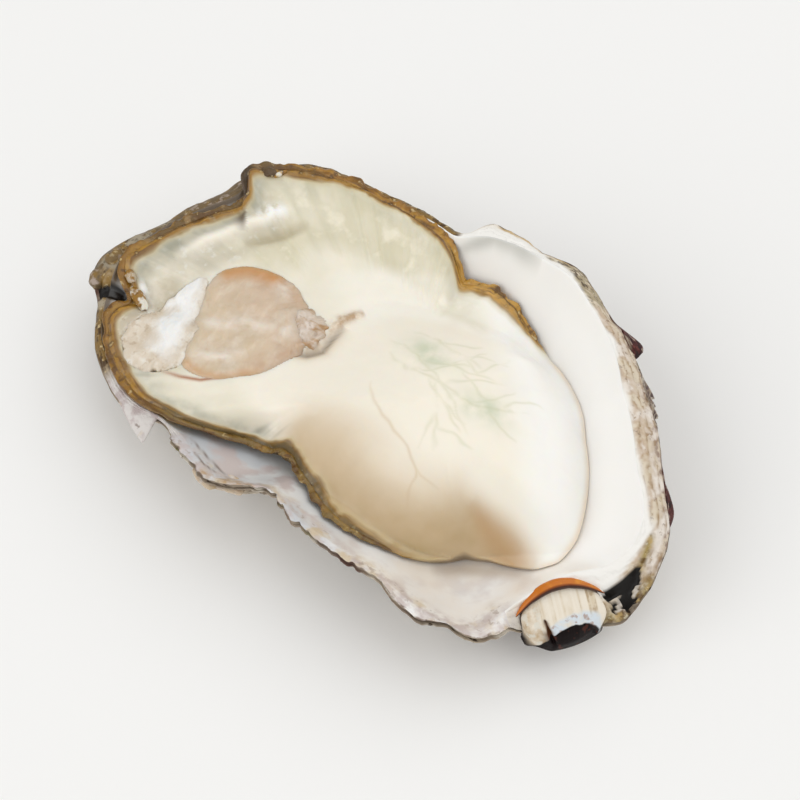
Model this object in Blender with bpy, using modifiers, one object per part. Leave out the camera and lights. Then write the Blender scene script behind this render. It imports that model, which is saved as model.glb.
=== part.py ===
"""Raw oyster on the half shell: the cupped lower valve, the soft body lying in it, the cut adductor
muscle in its two parts, and the strip of hinge ligament left on the hinge line.

Lengths below are in millimetres and become metres through MM. The origin is the middle of the flat
spot that the cup rests on. +X runs to the hinge, +Z is up. Outlines are polar: each knot holds an
angle in degrees from +X, a radius or a width, and further columns that go with it.
"""

import math

import bmesh
import bpy
import numpy as np
from mathutils import Vector

MM = 0.001
GAP = 0.3  # between neighbouring pieces
BED_GAP = 0.5  # between the meat and the curved nacre that it lies on
SEGMENTS = 108  # round the shell, the meat and the ligament alike, so that their facets run parallel

# Cup: angle, radius and height of the inner edge of the rim.
RIM = [
    (-176, 54.4, 15.5), (-160, 51.6, 13.5), (-146, 44.8, 13.0), (-138, 38.6, 13.6),
    (-133, 36.4, 14.3), (-116, 34.8, 16.0), (-106, 29.2, 16.0), (-101, 28.6, 15.8),
    (-78, 31.2, 15.1), (-63, 35.0, 15.0), (-47, 44.2, 13.5), (-43, 45.4, 12.8),
    (-35, 42.6, 12.2), (-22, 42.6, 12.8), (-15, 45.6, 13.6), (-9, 48.0, 17.0), (-3, 46.5, 20.0),
    (4, 42.4, 22.0), (21, 36.8, 24.0), (50, 32.4, 24.0), (60, 31.9, 24.5), (69, 29.8, 25.0),
    (90, 28.2, 23.5), (102, 27.0, 21.2), (117, 31.6, 20.0), (127, 36.0, 19.0),
    (138, 43.2, 18.0), (146, 47.0, 17.5), (154, 49.0, 17.5), (158, 47.0, 16.5),
]
# Broken edge outside the rim: angle, width, drop. At the hinge it is the ligament area.
EDGE = [
    (-173, 4.6, 2.2), (-167, 1.4, 1.4), (-145, 1.6, 1.5), (-141, 3.4, 2.2), (-138, 7.4, 4.2),
    (-134, 1.4, 1.3), (-110, 1.6, 1.2), (-107, 0.9, 1.0), (-74, 1.6, 1.2), (-65, 0.9, 1.0),
    (-54, 2.0, 1.4), (-50, 0.9, 1.2), (-35, 3.0, 3.0), (-32, 6.6, 5.2), (-27, 8.8, 6.8),
    (-21, 8.6, 6.6), (-12, 6.4, 4.2), (-8, 4.6, 3.4), (45, 2.8, 2.3), (66, 3.2, 2.0),
    (73, 1.8, 1.8), (93, 3.8, 1.0), (98, 1.6, 1.2), (134, 2.0, 1.5), (141, 3.2, 1.8),
    (153, 2.0, 2.0), (158, 3.2, 2.0), (174, 1.8, 1.5),
]
EDGE_ROUND = 1.5  # power of the drop across the edge
EDGE_THICK = 0.8
RIM_FRILL = 0.3
# Share of the cup's depth that rises as an even slope; the rest is a steep wall.
SLOPE = [
    (-180, 0.75), (-140, 0.70), (-110, 0.55), (-60, 0.45), (-22, 0.45), (0, 0.30), (45, 0.30),
    (90, 0.35), (120, 0.60), (150, 0.75),
]
WALL_POWER = 6
FLOOR = 4.0  # height of the nacre in the middle of the cup
SINK = 1.2  # how far the outer profile would pass below the table, which makes the flat spot
FLAT_SHARE = 0.32  # of the outer radius, where the flat spot ends

# Growth lamellae outside the cup: share of the outer radius and how far the free edge stands off.
LAMELLAE = [(0.91, 0.9), (0.81, 1.1), (0.70, 1.2), (0.59, 1.1), (0.48, 0.9)]
LAMELLA_LIP = 0.03  # share of the radius that a lamella takes
LAMELLA_CLEAR = 3.0  # height above the table where lamellae reach their full size
# Long scales that stand out from a lamella: angle, half width in degrees, reach, lamella.
SCALES = [(38, 5.0, 3.6, 0), (-3, 5.0, 4.2, 0), (-175, 5.0, 3.0, 0), (150, 4.0, 2.6, 0), (20, 5.0, 2.0, 1)]

# Meat: angle, radius and lift above the nacre of the mantle's margin.
MARGIN = [
    (-176, 53.4, 1.2), (-163, 51.3, 1.2), (-157, 49.4, 1.2), (-146, 43.8, 1.4),
    (-138, 37.6, 2.2), (-130, 26.6, 3.2), (-120, 22.2, 3.2), (-113, 21.5, 3.0),
    (-96, 23.1, 2.6), (-80, 26.4, 2.2), (-56, 29.4, 1.2), (-38, 30.2, 1.0), (-32, 32.4, 1.0),
    (-24, 38.4, 1.2), (-19, 39.6, 1.4), (-11, 38.6, 1.2), (14, 31.8, 1.0), (47, 26.0, 1.2),
    (81, 25.0, 2.2), (94, 22.9, 2.2), (117, 30.8, 1.0), (127, 35.2, 1.0), (138, 42.3, 1.0),
    (146, 46.1, 1.0), (153, 47.9, 1.0), (159.5, 45.2, 1.2), (164, 47.4, 1.2),
]
MARGIN_THICK = 0.4
SKIRT_HEIGHT = 15.5  # top of the mantle where it meets the body
SKIRT_RISE = 2.2  # how quickly the mantle climbs from its margin
LEAST_THICK = 0.6
# Visceral mass: angle and radius about its own centre.
BODY_CENTRE = (12.0, -3.0)
BODY = [
    (-171, 34.6), (-160, 41.0), (-153, 32.3), (-143, 27.3), (-131, 24.1), (-109, 21.3),
    (-83, 20.2), (-58, 19.8), (-37, 20.6), (-25, 24.5), (-13, 27.4), (-2, 25.2), (17, 23.2),
    (38, 22.0), (61, 20.5), (84, 21.1), (109, 22.5), (130, 25.3), (151, 31.5), (169, 31.0),
]
BODY_BASE = 8.5
BODY_CROWN = 21.5
BODY_FULLNESS = 2.6  # 2 is an ellipse; higher is a flatter top with fuller sides
BODY_FALL = 5.5  # how much lower the crown is at its far end, by the muscle
BODY_FALL_FROM = 8.0
BODY_FALL_LENGTH = 35.0
BODY_JOIN = 1.2  # width of the soft crease between body and mantle

# Adductor muscle, cut level by the knife: angle and radius about its centre.
MUSCLE_CENTRE = (-31.0, -5.0)
MUSCLE = [
    (-172, 14.6), (-150, 14.6), (-125, 14.4), (-100, 12.8), (-75, 10.6), (-50, 9.6), (-20, 10.6),
    (5, 12.6), (30, 13.2), (55, 13.2), (80, 12.6), (110, 11.6), (140, 10.6), (165, 12.6),
]
MUSCLE_TOP = 16.0
MUSCLE_CROWN = 1.2
MUSCLE_ROUND = 0.5  # height of the rounding round the cut face
# The opaque part lies beyond a line through this point, turned this many degrees from +X.
SPLIT_POINT = (-34.0, -6.5)
SPLIT_TURN = 106.0
TRIM_SIZE = 60.0

LIGAMENT_SPAN = (-11, -4)  # segments
LIGAMENT_ACROSS = (-1.2, 0.8)  # from inside the hinge line to outside it
LIGAMENT_THICK = 0.9

STEP = 0.5  # degrees between the samples of a smoothed outline
ANGLES = np.arange(-180.0, 180.0, STEP)


def outline(knots, column=1, blur=2.0):
    """A column of the knots as a function of the angle: straight between knots, then rounded by a
    Gaussian of `blur` degrees all the way round."""
    table = np.array(knots, float)
    values = np.interp(ANGLES, table[:, 0], table[:, column], period=360)
    count = len(ANGLES)
    offset = (np.arange(count) + count // 2) % count - count // 2
    weights = np.exp(-0.5 * (offset * STEP / blur) ** 2)
    rounded = np.fft.irfft(np.fft.rfft(values) * np.fft.rfft(weights / weights.sum()), count)
    return lambda angle: float(np.interp(angle, ANGLES, rounded, period=360))


rim_radius, rim_height = outline(RIM), outline(RIM, 2)
edge_width, edge_drop = outline(EDGE, blur=1.2), outline(EDGE, 2)
evenness = outline(SLOPE, blur=10)
margin_radius, margin_lift = outline(MARGIN), outline(MARGIN, 2)
body_radius = outline(BODY, blur=5)
muscle_radius = outline(MUSCLE, blur=6)


def frill(angle, seed):
    """Uneven edge, within about -1 to 1: a sum of waves round the shell with seeded phases."""
    waves = np.array([7, 11, 17, 23, 31, 43])
    phases = np.random.default_rng(seed).uniform(0, 2 * math.pi, len(waves))
    return float(np.sin(waves * math.radians(angle) + phases).mean() * 1.6)


def soft_step(value):
    value = min(1.0, max(0.0, value))
    return value * value * (3 - 2 * value)


def soft_max(a, b, width):
    """The larger of two heights, with the crease between them rounded."""
    blend = max(0.0, 1 - abs(a - b) / width)
    return max(a, b) + blend * blend * width / 4


def flat(angle, radius, centre=(0, 0)):
    turn = math.radians(angle)
    return centre[0] + radius * math.cos(turn), centre[1] + radius * math.sin(turn)


def polar(x, y):
    return math.degrees(math.atan2(y, x)), math.hypot(x, y)


def at(angle, radius, height):
    return Vector((*flat(angle, radius), height)) * MM


def rise(share, angle):
    """Profile of the cup from 0 in its middle to 1 at the rim."""
    even = evenness(angle)
    return even * share**2 + (1 - even) * share**WALL_POWER


def nacre(x, y):
    """Height of the cup's inner surface."""
    angle, radius = polar(x, y)
    return FLOOR + (rim_height(angle) - FLOOR) * rise(radius / rim_radius(angle), angle)


def outer_radius(angle):
    return rim_radius(angle) + edge_width(angle) + RIM_FRILL * frill(angle, 1)


def underside(share, angle):
    """Height of the cup's outer surface at a share of its outer radius, level where it rests."""
    top = rim_height(angle) - edge_drop(angle) - EDGE_THICK
    return max(0.0, (top + SINK) * rise(share, angle) - SINK)


def scale_reach(angle, lamella):
    """How far the long scales of a lamella stand out at this angle."""
    reach = 0.0
    for centre, half_width, length, owner in SCALES:
        away = abs((angle - centre + 180) % 360 - 180) / half_width
        if owner == lamella and away < 1:
            reach = max(reach, length * (1 - away**2))
    return reach


def material(name, colour, roughness):
    """Principled BSDF with a plain colour, given as sRGB hex digits."""
    channels = [int(colour[i : i + 2], 16) / 255 for i in (0, 2, 4)]
    linear = [c / 12.92 if c < 0.04045 else ((c + 0.055) / 1.055) ** 2.4 for c in channels]
    made = bpy.data.materials.new(name)
    made.use_nodes = True
    shader = made.node_tree.nodes["Principled BSDF"]
    shader.inputs["Base Color"].default_value = (*linear, 1)
    shader.inputs["Roughness"].default_value = roughness
    made.diffuse_color = (*linear, 1)
    return made


def collection(name):
    made = bpy.data.collections.new(name)
    bpy.context.scene.collection.children.link(made)
    return made


def add(name, bm, group, finish=None):
    """The bmesh as an object: smooth-shaded with a finish, or without one a cutter."""
    mesh = bpy.data.meshes.new(name)
    bm.to_mesh(mesh)
    bm.free()
    made = bpy.data.objects.new(name, mesh)
    group.objects.link(made)
    if finish:
        mesh.materials.append(finish)
        mesh.shade_smooth()
    else:
        made.hide_render = True
        made.display_type = "WIRE"
    return made


def ringed_solid(name, segments, stations, group, finish=None):
    """Closed body from a UV sphere: each of its latitudes, from the top down, becomes one station,
    which gives the point for an angle. The first and last stations are the poles."""
    bm = bmesh.new()
    rings = len(stations) - 1
    bmesh.ops.create_uvsphere(bm, u_segments=segments, v_segments=rings, radius=1)
    for vertex in bm.verts:
        latitude = math.acos(max(-1.0, min(1.0, vertex.co.z))) / math.pi
        angle = math.degrees(math.atan2(vertex.co.y, vertex.co.x))
        vertex.co = stations[round(latitude * rings)](angle)
    return add(name, bm, group, finish)


def shell_stations():
    """Sections of the shell from the middle of the nacre over the rim and back underneath."""

    def inner(share):
        def point(angle):
            x, y = flat(angle, rim_radius(angle) * share)
            return Vector((x, y, nacre(x, y))) * MM

        return point

    def edge(share):
        def point(angle):
            radius = rim_radius(angle) + (outer_radius(angle) - rim_radius(angle)) * share
            return at(angle, radius, rim_height(angle) - edge_drop(angle) * share**EDGE_ROUND)

        return point

    def outer(share):
        return lambda angle: at(angle, outer_radius(angle) * share, underside(share, angle))

    def free_edge(share, stand, index):
        def point(angle):
            height = underside(share, angle)
            uneven = 1 + 0.5 * frill(angle, index + 2)
            proud = stand * uneven * min(1.0, height / LAMELLA_CLEAR)
            radius = outer_radius(angle) * (share + LAMELLA_LIP / 2) + proud
            return at(angle, radius + scale_reach(angle, index), max(0.0, height - 0.8 * proud))

        return point

    stations = [inner(share) for share in (0, 0.3, 0.52, 0.68, 0.80, 0.88, 0.94, 1)]
    stations += [edge(0.5), edge(1), outer(1)]
    for index, (share, stand) in enumerate(LAMELLAE):
        stations += [outer(share + LAMELLA_LIP), free_edge(share, stand, index)]
    return stations + [outer(FLAT_SHARE), outer(0)]


def body_top(x, y):
    """Height of the visceral mass, a pillow on its outline, or its base outside that."""
    angle, radius = polar(x - BODY_CENTRE[0], y - BODY_CENTRE[1])
    share = radius / body_radius(angle)
    crown = BODY_CROWN - BODY_FALL * soft_step((BODY_FALL_FROM - x) / BODY_FALL_LENGTH)
    return BODY_BASE + (crown - BODY_BASE) * max(0.0, 1 - share**BODY_FULLNESS) ** 0.5


def meat_stations():
    """Sections of the meat from its middle out to the margin and back under it."""

    def upper(share):
        def point(angle):
            x, y = flat(angle, margin_radius(angle))
            margin = nacre(x, y) + margin_lift(angle) + MARGIN_THICK
            x, y = x * share, y * share
            skirt = margin + (SKIRT_HEIGHT - margin) * soft_step((1 - share) * SKIRT_RISE)
            top = soft_max(skirt, body_top(x, y), BODY_JOIN)
            return Vector((x, y, max(top, nacre(x, y) + BED_GAP + LEAST_THICK))) * MM

        return point

    def lower(share):
        def point(angle):
            x, y = flat(angle, margin_radius(angle) * share)
            lift = 0.6 * margin_lift(angle) * soft_step((share - 0.8) / 0.2)
            return Vector((x, y, nacre(x, y) + BED_GAP + lift)) * MM

        return point

    down = [upper(share) for share in (0, 0.15, 0.3, 0.45, 0.6, 0.72, 0.82, 0.9, 0.96, 1)]
    return down + [lower(share) for share in (0.99, 0.94, 0.84, 0.68, 0.45, 0)]


def muscle_stations(grow, top, base_gap):
    """Sections of the muscle, a plug from its domed cut face down to the nacre, grown all round."""

    def place(share, drop=None):
        def point(angle):
            x, y = flat(angle, (muscle_radius(angle) + grow) * share, MUSCLE_CENTRE)
            if drop is None:
                return Vector((x, y, nacre(x, y) + base_gap)) * MM
            dome = MUSCLE_CROWN * ((1 - share**2) ** 0.7 - 1)
            return Vector((x, y, top + dome - drop)) * MM

        return point

    face = [place(share, 0) for share in (0, 0.35, 0.65, 0.85, 0.96)]
    return face + [place(1, MUSCLE_ROUND)] + [place(share) for share in (1, 0.6, 0)]


def cut(target, cutter):
    modifier = target.modifiers.new("cut_" + cutter.name, "BOOLEAN")
    modifier.operation = "DIFFERENCE"
    modifier.solver = "EXACT"
    modifier.object = cutter


def trim_block(name, side, group):
    """Block on one side of the line between the muscle's two parts, past it by half a gap."""
    size = TRIM_SIZE * MM
    bm = bmesh.new()
    bmesh.ops.create_cube(bm, size=size)
    made = add(name, bm, group)
    turn = math.radians(SPLIT_TURN)
    across = Vector((-math.sin(turn), math.cos(turn), 0)) * side
    made.rotation_euler.z = turn
    made.location = Vector((*SPLIT_POINT, 0)) * MM + across * (size - GAP * MM) / 2
    return made


def hinge_ligament(group, finish):
    """Strip over the hinge line: a small grid bent over its crest, lifted clear and given a wall."""
    first, last = LIGAMENT_SPAN
    inside, outside = LIGAMENT_ACROSS
    bm = bmesh.new()
    bmesh.ops.create_grid(bm, x_segments=last - first, y_segments=4, size=0.5)
    for vertex in bm.verts:
        angle = (last + (first - last) * (vertex.co.x + 0.5)) * 360 / SEGMENTS
        offset = inside + (outside - inside) * (vertex.co.y + 0.5)
        radius = rim_radius(angle) + offset
        if offset < 0:
            height = nacre(*flat(angle, radius))
        else:
            height = rim_height(angle) - edge_drop(angle) * (offset / edge_width(angle)) ** EDGE_ROUND
        vertex.co = at(angle, radius, height + 1.5 * GAP)
    made = add("hinge_ligament", bm, group, finish)
    wall = made.modifiers.new("wall", "SOLIDIFY")
    wall.thickness = LIGAMENT_THICK * MM
    wall.offset = 1


def main():
    for old in list(bpy.data.objects):
        bpy.data.objects.remove(old)
    oyster = collection("oyster_in_shell")
    cutters = collection("cutters")

    ringed_solid("shell", SEGMENTS, shell_stations(), oyster, material("shell", "CFC6B6", 0.55))

    meat = ringed_solid("meat", SEGMENTS, meat_stations(), oyster, material("meat", "E6DFCB", 0.3))
    above, below = 8, -3
    socket = muscle_stations(GAP, MUSCLE_TOP + above, below)
    cut(meat, ringed_solid("muscle_socket", 48, socket, cutters))

    for name, colour, side in (("adductor_quick", "D3BCA2", -1), ("adductor_catch", "E8E4DC", 1)):
        sections = muscle_stations(0, MUSCLE_TOP, BED_GAP)
        muscle = ringed_solid(name, 36, sections, oyster, material(name, colour, 0.3))
        cut(muscle, trim_block(name + "_trim", -side, cutters))

    hinge_ligament(oyster, material("ligament", "B5651D", 0.35))


main()
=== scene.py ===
"""Raw oyster on the half shell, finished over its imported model.

Lengths are in millimetres of a shell SHELL_LENGTH long. MM turns them into the frame's metres, so the
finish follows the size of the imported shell. Outlines are polar, as angle in degrees from +X, which
points at the hinge, and a radius, with further columns that go with it. Heights are above the table.
"""

import math

import bpy
import numpy as np
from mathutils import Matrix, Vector


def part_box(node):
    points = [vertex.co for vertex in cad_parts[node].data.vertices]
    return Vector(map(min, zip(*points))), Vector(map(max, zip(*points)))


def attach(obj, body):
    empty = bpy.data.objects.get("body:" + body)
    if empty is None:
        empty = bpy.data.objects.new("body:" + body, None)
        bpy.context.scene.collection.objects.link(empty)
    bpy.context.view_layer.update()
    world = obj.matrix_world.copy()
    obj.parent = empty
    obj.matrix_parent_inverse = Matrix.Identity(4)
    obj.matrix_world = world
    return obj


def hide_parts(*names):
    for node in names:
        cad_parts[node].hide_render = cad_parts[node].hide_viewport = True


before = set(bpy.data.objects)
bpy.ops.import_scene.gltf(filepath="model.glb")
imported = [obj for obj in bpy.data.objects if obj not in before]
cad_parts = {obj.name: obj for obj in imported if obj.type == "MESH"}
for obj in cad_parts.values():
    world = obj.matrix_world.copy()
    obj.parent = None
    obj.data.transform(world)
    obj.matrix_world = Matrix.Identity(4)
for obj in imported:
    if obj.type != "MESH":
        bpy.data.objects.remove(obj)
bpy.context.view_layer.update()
SHELL_LENGTH = 109.84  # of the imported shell, along X
MM = (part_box("shell")[1].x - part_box("shell")[0].x) / SHELL_LENGTH

# Cup: angle, radius and height of the inner edge of the rim.
RIM = [
    (-176, 54.4, 15.5), (-160, 51.6, 13.5), (-146, 44.8, 13.0), (-143, 42.2, 13.2), (-141, 39.4, 13.4),
    (-138, 38.4, 13.6), (-133, 36.4, 14.3), (-116, 34.8, 16.0), (-106, 29.2, 16.0), (-101, 28.6, 15.8),
    (-78, 31.2, 15.1), (-63, 35.0, 15.0), (-47, 44.2, 13.5), (-43, 45.4, 12.8), (-35, 42.6, 12.2),
    (-22, 42.6, 12.8), (-15, 45.6, 13.6), (-9, 48.0, 17.0), (-3, 46.5, 20.0), (4, 41.6, 21.8),
    (21, 35.9, 23.8), (50, 32.4, 24.0), (60, 31.9, 24.5), (69, 29.8, 25.0), (90, 28.2, 23.5),
    (102, 27.0, 21.2), (117, 31.6, 20.0), (127, 36.0, 19.0), (138, 43.2, 18.0), (146, 47.0, 17.5),
    (154, 49.0, 17.5), (158, 47.0, 16.5),
]
# Broken edge outside the rim: angle, width, drop. At the hinge it is the ligament area.
EDGE = [
    (-173, 4.6, 2.2), (-167, 1.4, 1.4), (-145, 1.6, 1.5), (-141, 0.5, 0.8), (-137, 0.4, 0.8),
    (-133, 1.4, 1.3), (-110, 1.6, 1.2), (-107, 0.9, 1.0), (-74, 1.6, 1.2), (-65, 0.9, 1.0),
    (-54, 2.0, 1.4), (-50, 0.9, 1.2), (-35, 2.4, 2.4), (-32, 3.4, 4.8), (-27, 5.6, 6.6),
    (-20, 6.4, 6.6), (-17, 8.2, 5.6), (-12, 6.4, 4.2), (-8, 4.6, 3.4), (4, 5.0, 3.2), (21, 4.6, 2.8),
    (45, 2.8, 2.3), (66, 3.2, 2.0), (73, 1.8, 1.8), (93, 3.8, 1.0), (98, 1.6, 1.2), (134, 2.0, 1.5),
    (141, 3.2, 1.8), (153, 2.0, 2.0), (158, 3.2, 2.0), (174, 1.8, 1.5),
]
EDGE_ROUND = 1.5  # power of the drop across the edge
NEAR_FACE = (-150, -38, 6)  # where the pale near side starts and ends, and how softly
EDGE_THICK = 0.8  # of the shell at its outline
# Share of the cup's depth that rises as an even slope; the rest is a steep wall.
SLOPE = [
    (-180, 0.75), (-140, 0.70), (-110, 0.55), (-60, 0.45), (-22, 0.45), (0, 0.30), (45, 0.30),
    (90, 0.35), (120, 0.60), (150, 0.75),
]
# Steepness of that wall, as a power.
WALL = [(-180, 6), (-145, 5), (-125, 2.6), (-58, 2.6), (-38, 5), (-10, 6), (90, 6)]
FLOOR = 4.0  # height of the lining at its lowest
SINK = 1.2  # how far the outside's profile is pushed below the table, to make a level resting face
# Growth layers outside the cup: share of the outer radius and how far the free edge stands off.
LAYERS = [
    (0.965, 0.5), (0.91, 0.9), (0.86, 0.7), (0.81, 1.1), (0.755, 0.8), (0.70, 1.2), (0.645, 0.8),
    (0.59, 1.1), (0.53, 0.8), (0.47, 0.8),
]
LAYER_CLEAR = 3.0  # height where layers reach their full size
LAYER_SUNK = 0.03  # where the shell rests, each layer lies this much higher inside it than the one before
LAYER_LIP = 0.045  # length of a layer's wedge, as a share of the outer radius
# A layer's section, from its root round its free edge: how far along it, and its share of the stand-off.
LAYER_SECTION = [
    (1.0, -0.5), (0.8, 0.12), (0.5, 0.4), (0.2, 0.8), (0.0, 1.0), (-0.02, 0.98), (-0.1, 0.7),
    (-0.15, 0.2), (-0.2, -0.6), (0.4, -0.9),
]
# Long scales: angle, half width in degrees, reach, layer.
SCALES = [
    (43, 7.5, 5.4, 0), (26, 11.0, 3.5, 0), (4, 6.0, 3.4, 0), (-175, 5.0, 3.0, 1), (150, 4.0, 2.6, 1),
    (20, 5.0, 2.0, 3),
]

# Meat: angle, radius and lift above the nacre of the mantle's margin.
MARGIN = [
    (-176, 53.4, 0.8), (-173.4, 52.6, 0.8), (-171, 49.6, 0.7), (-168.6, 49.0, 0.7), (-166, 50.8, 0.8),
    (-163, 51.3, 0.8), (-157, 49.4, 0.9), (-146, 43.8, 1.2), (-141, 39.4, 1.4), (-138, 37.4, 1.6),
    (-130, 26.6, 1.6), (-120, 22.2, 1.6), (-113, 21.5, 1.5), (-96, 23.1, 1.0), (-80, 26.4, 0.8),
    (-56, 29.4, 0.3), (-38, 30.2, 0.5), (-32, 32.4, 0.5), (-24, 38.4, 0.3), (-19, 39.6, 0.1),
    (-11, 38.6, 0.0), (14, 31.8, 0.0), (47, 26.0, 0.2), (60, 25.0, 1.2), (81, 24.3, 2.2),
    (94, 22.9, 2.2), (117, 30.8, 1.0), (127, 35.2, 1.0), (138, 42.3, 1.0), (146, 46.3, 1.0),
    (151, 48.0, 1.2), (155.2, 48.9, 1.5), (156.8, 45.8, 1.4), (160, 45.3, 1.2), (165, 47.2, 0.9),
]
# Coloured band along the margin: angle, strength, width.
BAND = [
    (-170, 1.0, 3.2), (-150, 1.0, 3.0), (-135, 1.0, 3.4), (-120, 1.0, 2.4), (-100, 1.0, 2.2),
    (-84, 0.9, 3.2), (-66, 0.6, 3.0), (-52, 0.3, 2.0), (-42, 0.0, 1.5), (44, 0.0, 1.0), (53, 0.5, 1.3),
    (62, 0.9, 2.4), (80, 1.0, 3.4), (98, 1.0, 3.0), (115, 1.0, 2.2), (150, 1.0, 3.0), (160, 1.0, 3.0),
    (170, 1.0, 2.6),
]
MARGIN_THICK = 0.4
BED_GAP = 0.15  # between the flesh's lower face and the lining
LEAST_THICK = 0.2
# Stretches of the margin by colour: where they start and end round it, and how softly.
FREE_END = (156, 205, 6)
OLIVE_PART = (222, 300, 8)
TAWNY_PART = (50, 100, 4)
# Mantle: the height that it climbs to, and how fast.
SKIRT_HEIGHT = 15.5
SKIRT_RISE = 2.2
# Body: a pillow about its own centre, by angle and radius, that falls away from the hinge.
BODY_CENTRE = (12.0, -3.0)
BODY = [
    (-171, 34.6), (-160, 41.0), (-153, 32.3), (-143, 27.3), (-131, 24.1), (-109, 21.3), (-83, 20.2),
    (-58, 19.8), (-37, 20.6), (-25, 24.5), (-13, 27.4), (-2, 25.2), (17, 23.2), (38, 22.0), (61, 20.5),
    (84, 21.1), (109, 22.5), (130, 25.3), (151, 31.5), (169, 31.0),
]
BODY_BASE, BODY_CROWN = 8.5, 21.5  # heights of its rim and of its top
BODY_FULLNESS = 2.6  # power of the way out; a greater one fills the pillow's shoulders
BODY_FALL, BODY_FALL_FROM, BODY_FALL_LENGTH = 5.5, 8.0, 35.0  # how far its top falls, from which X, over what
BODY_JOIN = 3.0  # width of the rounded crease where it meets the mantle
PLEAT_ROWS = (0.66, 0.93, 0.12)  # shares of the way out between which the mantle is pleated, and how softly

# The muscle's two parts, each about its own centre.
QUICK_CENTRE = (-28.0, -4.5)
QUICK = [
    (-137, 9.6), (-110, 12.9), (-89, 11.8), (-60, 10.0), (-16, 9.8), (11, 11.4), (37, 11.4), (66, 11.6),
    (90, 12.3), (116, 12.6), (139, 12.6), (153, 11.2), (174, 8.8),
]
CATCH_CENTRE = (-39.3, -12.0)
CATCH = [
    (-151, 6.4), (-120, 7.6), (-94, 8.4), (-58, 8.0), (-34, 7.8), (15, 5.6), (55, 7.6), (76, 10.0),
    (90, 13.4), (104, 8.0), (133, 4.8), (178, 5.0),
]
MEMBRANE_CENTRE = (-19.6, 1.2)
MEMBRANE_EDGE = [
    (-160, 1.8), (-90, 2.2), (-55, 5.0), (-13, 4.2), (31, 4.0), (83, 3.6), (131, 5.4), (160, 2.6),
]
MUSCLE_HOLLOW = 3.0  # depth of the hollow in the meat that the muscle stands in

# Hinge block: its middle in plan, and the direction along the hinge.
HINGE = (41.3, -19.3)
HINGE_TURN = math.radians(48.3)

# How a piece's rows and columns join up: a strip whose section closes by itself, and a closed ring.
OPEN_STRIP = {"wrap": (False, False), "poles": (False, False)}
CLOSED_RING = {"wrap": (True, True), "poles": (False, False)}
STEP = 0.5  # between the angles that an outline is worked out at
ANGLES = np.arange(-180.0, 180.0, STEP)


def outline(knots, column=1, blur=2.0):
    """A column of the knots as a function of the angle: straight between knots, then rounded by a
    Gaussian of `blur` degrees all the way round."""
    table = np.array(knots, float)
    values = np.interp(ANGLES, table[:, 0], table[:, column], period=360)
    count = len(ANGLES)
    offset = (np.arange(count) + count // 2) % count - count // 2
    weights = np.exp(-0.5 * (offset * STEP / blur) ** 2)
    rounded = np.fft.irfft(np.fft.rfft(values) * np.fft.rfft(weights / weights.sum()), count)
    return lambda angle: np.interp(angle, ANGLES, rounded, period=360)


rim_radius, rim_height = outline(RIM), outline(RIM, 2)
edge_width, edge_drop = outline(EDGE, blur=1.0), outline(EDGE, 2)
evenness, wall_power = outline(SLOPE, blur=10), outline(WALL, blur=6)
margin_radius, margin_lift = outline(MARGIN, blur=0.7), outline(MARGIN, 2)
band_strength, band_width = outline(BAND, blur=3), outline(BAND, 2, blur=4)
body_radius = outline(BODY, blur=5)
quick_radius, catch_radius = outline(QUICK, blur=5), outline(CATCH, blur=4)


def lattice(x, y, z, seed):
    """Repeatable value from 0 to 1 for whole-number places: their bits multiplied and folded."""
    mixed = (x * 374761393 + y * 668265263 + z * 1442695041 + seed * 1274126177) & 0xFFFFFFFF
    mixed = ((mixed ^ (mixed >> 13)) * 1274126177) & 0xFFFFFFFF
    return ((mixed ^ (mixed >> 16)) & 0xFFFF) / 65535


NOISE_START = 17.3  # keeps the object's middle off a lattice corner, where every octave is level


def noise(points, size, seed, octaves=3):
    """Smooth uneven field, about -1 to 1, in lumps of `size`: lattice values blended by a smooth step,
    with each further octave half as large and half as strong. The seed picks the lattice values."""
    total = 0
    for octave in range(octaves):
        place = np.asarray(points) * (2**octave / size) + NOISE_START
        base = np.floor(place).astype(np.int64)
        t = place - base
        t = t * t * (3 - 2 * t)
        for corner in np.ndindex(2, 2, 2):
            weight = np.prod(np.where(corner, t, 1 - t), axis=-1)
            value = lattice(*np.moveaxis(base + corner, -1, 0), seed + octave)
            total = total + weight * (2 * value - 1) * 0.5**octave
    return total


def smooth(value):
    """Smooth step from 0 to 1: three times the square less twice the cube."""
    value = np.clip(value, 0, 1)
    return value * value * (3 - 2 * value)


def soft_max(a, b, width):
    """The larger of two heights, with the crease between them rounded."""
    blend = np.clip(1 - np.abs(a - b) / width, 0, 1)
    return np.maximum(a, b) + blend * blend * width / 4


def polar(x, y, centre=(0, 0)):
    """Angle in degrees and distance of a place from a centre."""
    dx, dy = x - centre[0], y - centre[1]
    return np.degrees(np.arctan2(dy, dx)), np.hypot(dx, dy)


def flat(angle, radius, centre=(0, 0)):
    """Place in plan at an angle and a distance from a centre."""
    turn = np.radians(angle)
    return centre[0] + radius * np.cos(turn), centre[1] + radius * np.sin(turn)


def stack(x, y, z):
    """Points from their three coordinates, each of them whole or shared."""
    return np.stack(np.broadcast_arrays(x, y, z), axis=-1)


def plan(x, y):
    """Points at height 0, for noise that is the same at every height."""
    return stack(x, y, 0 * x)


def round_angles(columns):
    """Even angles all the way round, from -180 degrees."""
    return np.arange(columns) * 360 / columns - 180


def toward_edge(rows, crowding):
    """Shares of the way from the middle, 0, to the edge, 1, closer together by a power near the edge."""
    return (1 - (1 - np.linspace(0, 1, rows)) ** crowding)[:, None]


def window(value, low, high, soft):
    """1 between low and high, falling smoothly to 0 over `soft` outside them."""
    return smooth((value - low) / soft + 1) * smooth((high - value) / soft + 1)


def sector(angle, low, high, soft):
    """A window on the angle, measured from 0 to 360 degrees."""
    return window((angle + 360) % 360, low, high, soft)


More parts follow.
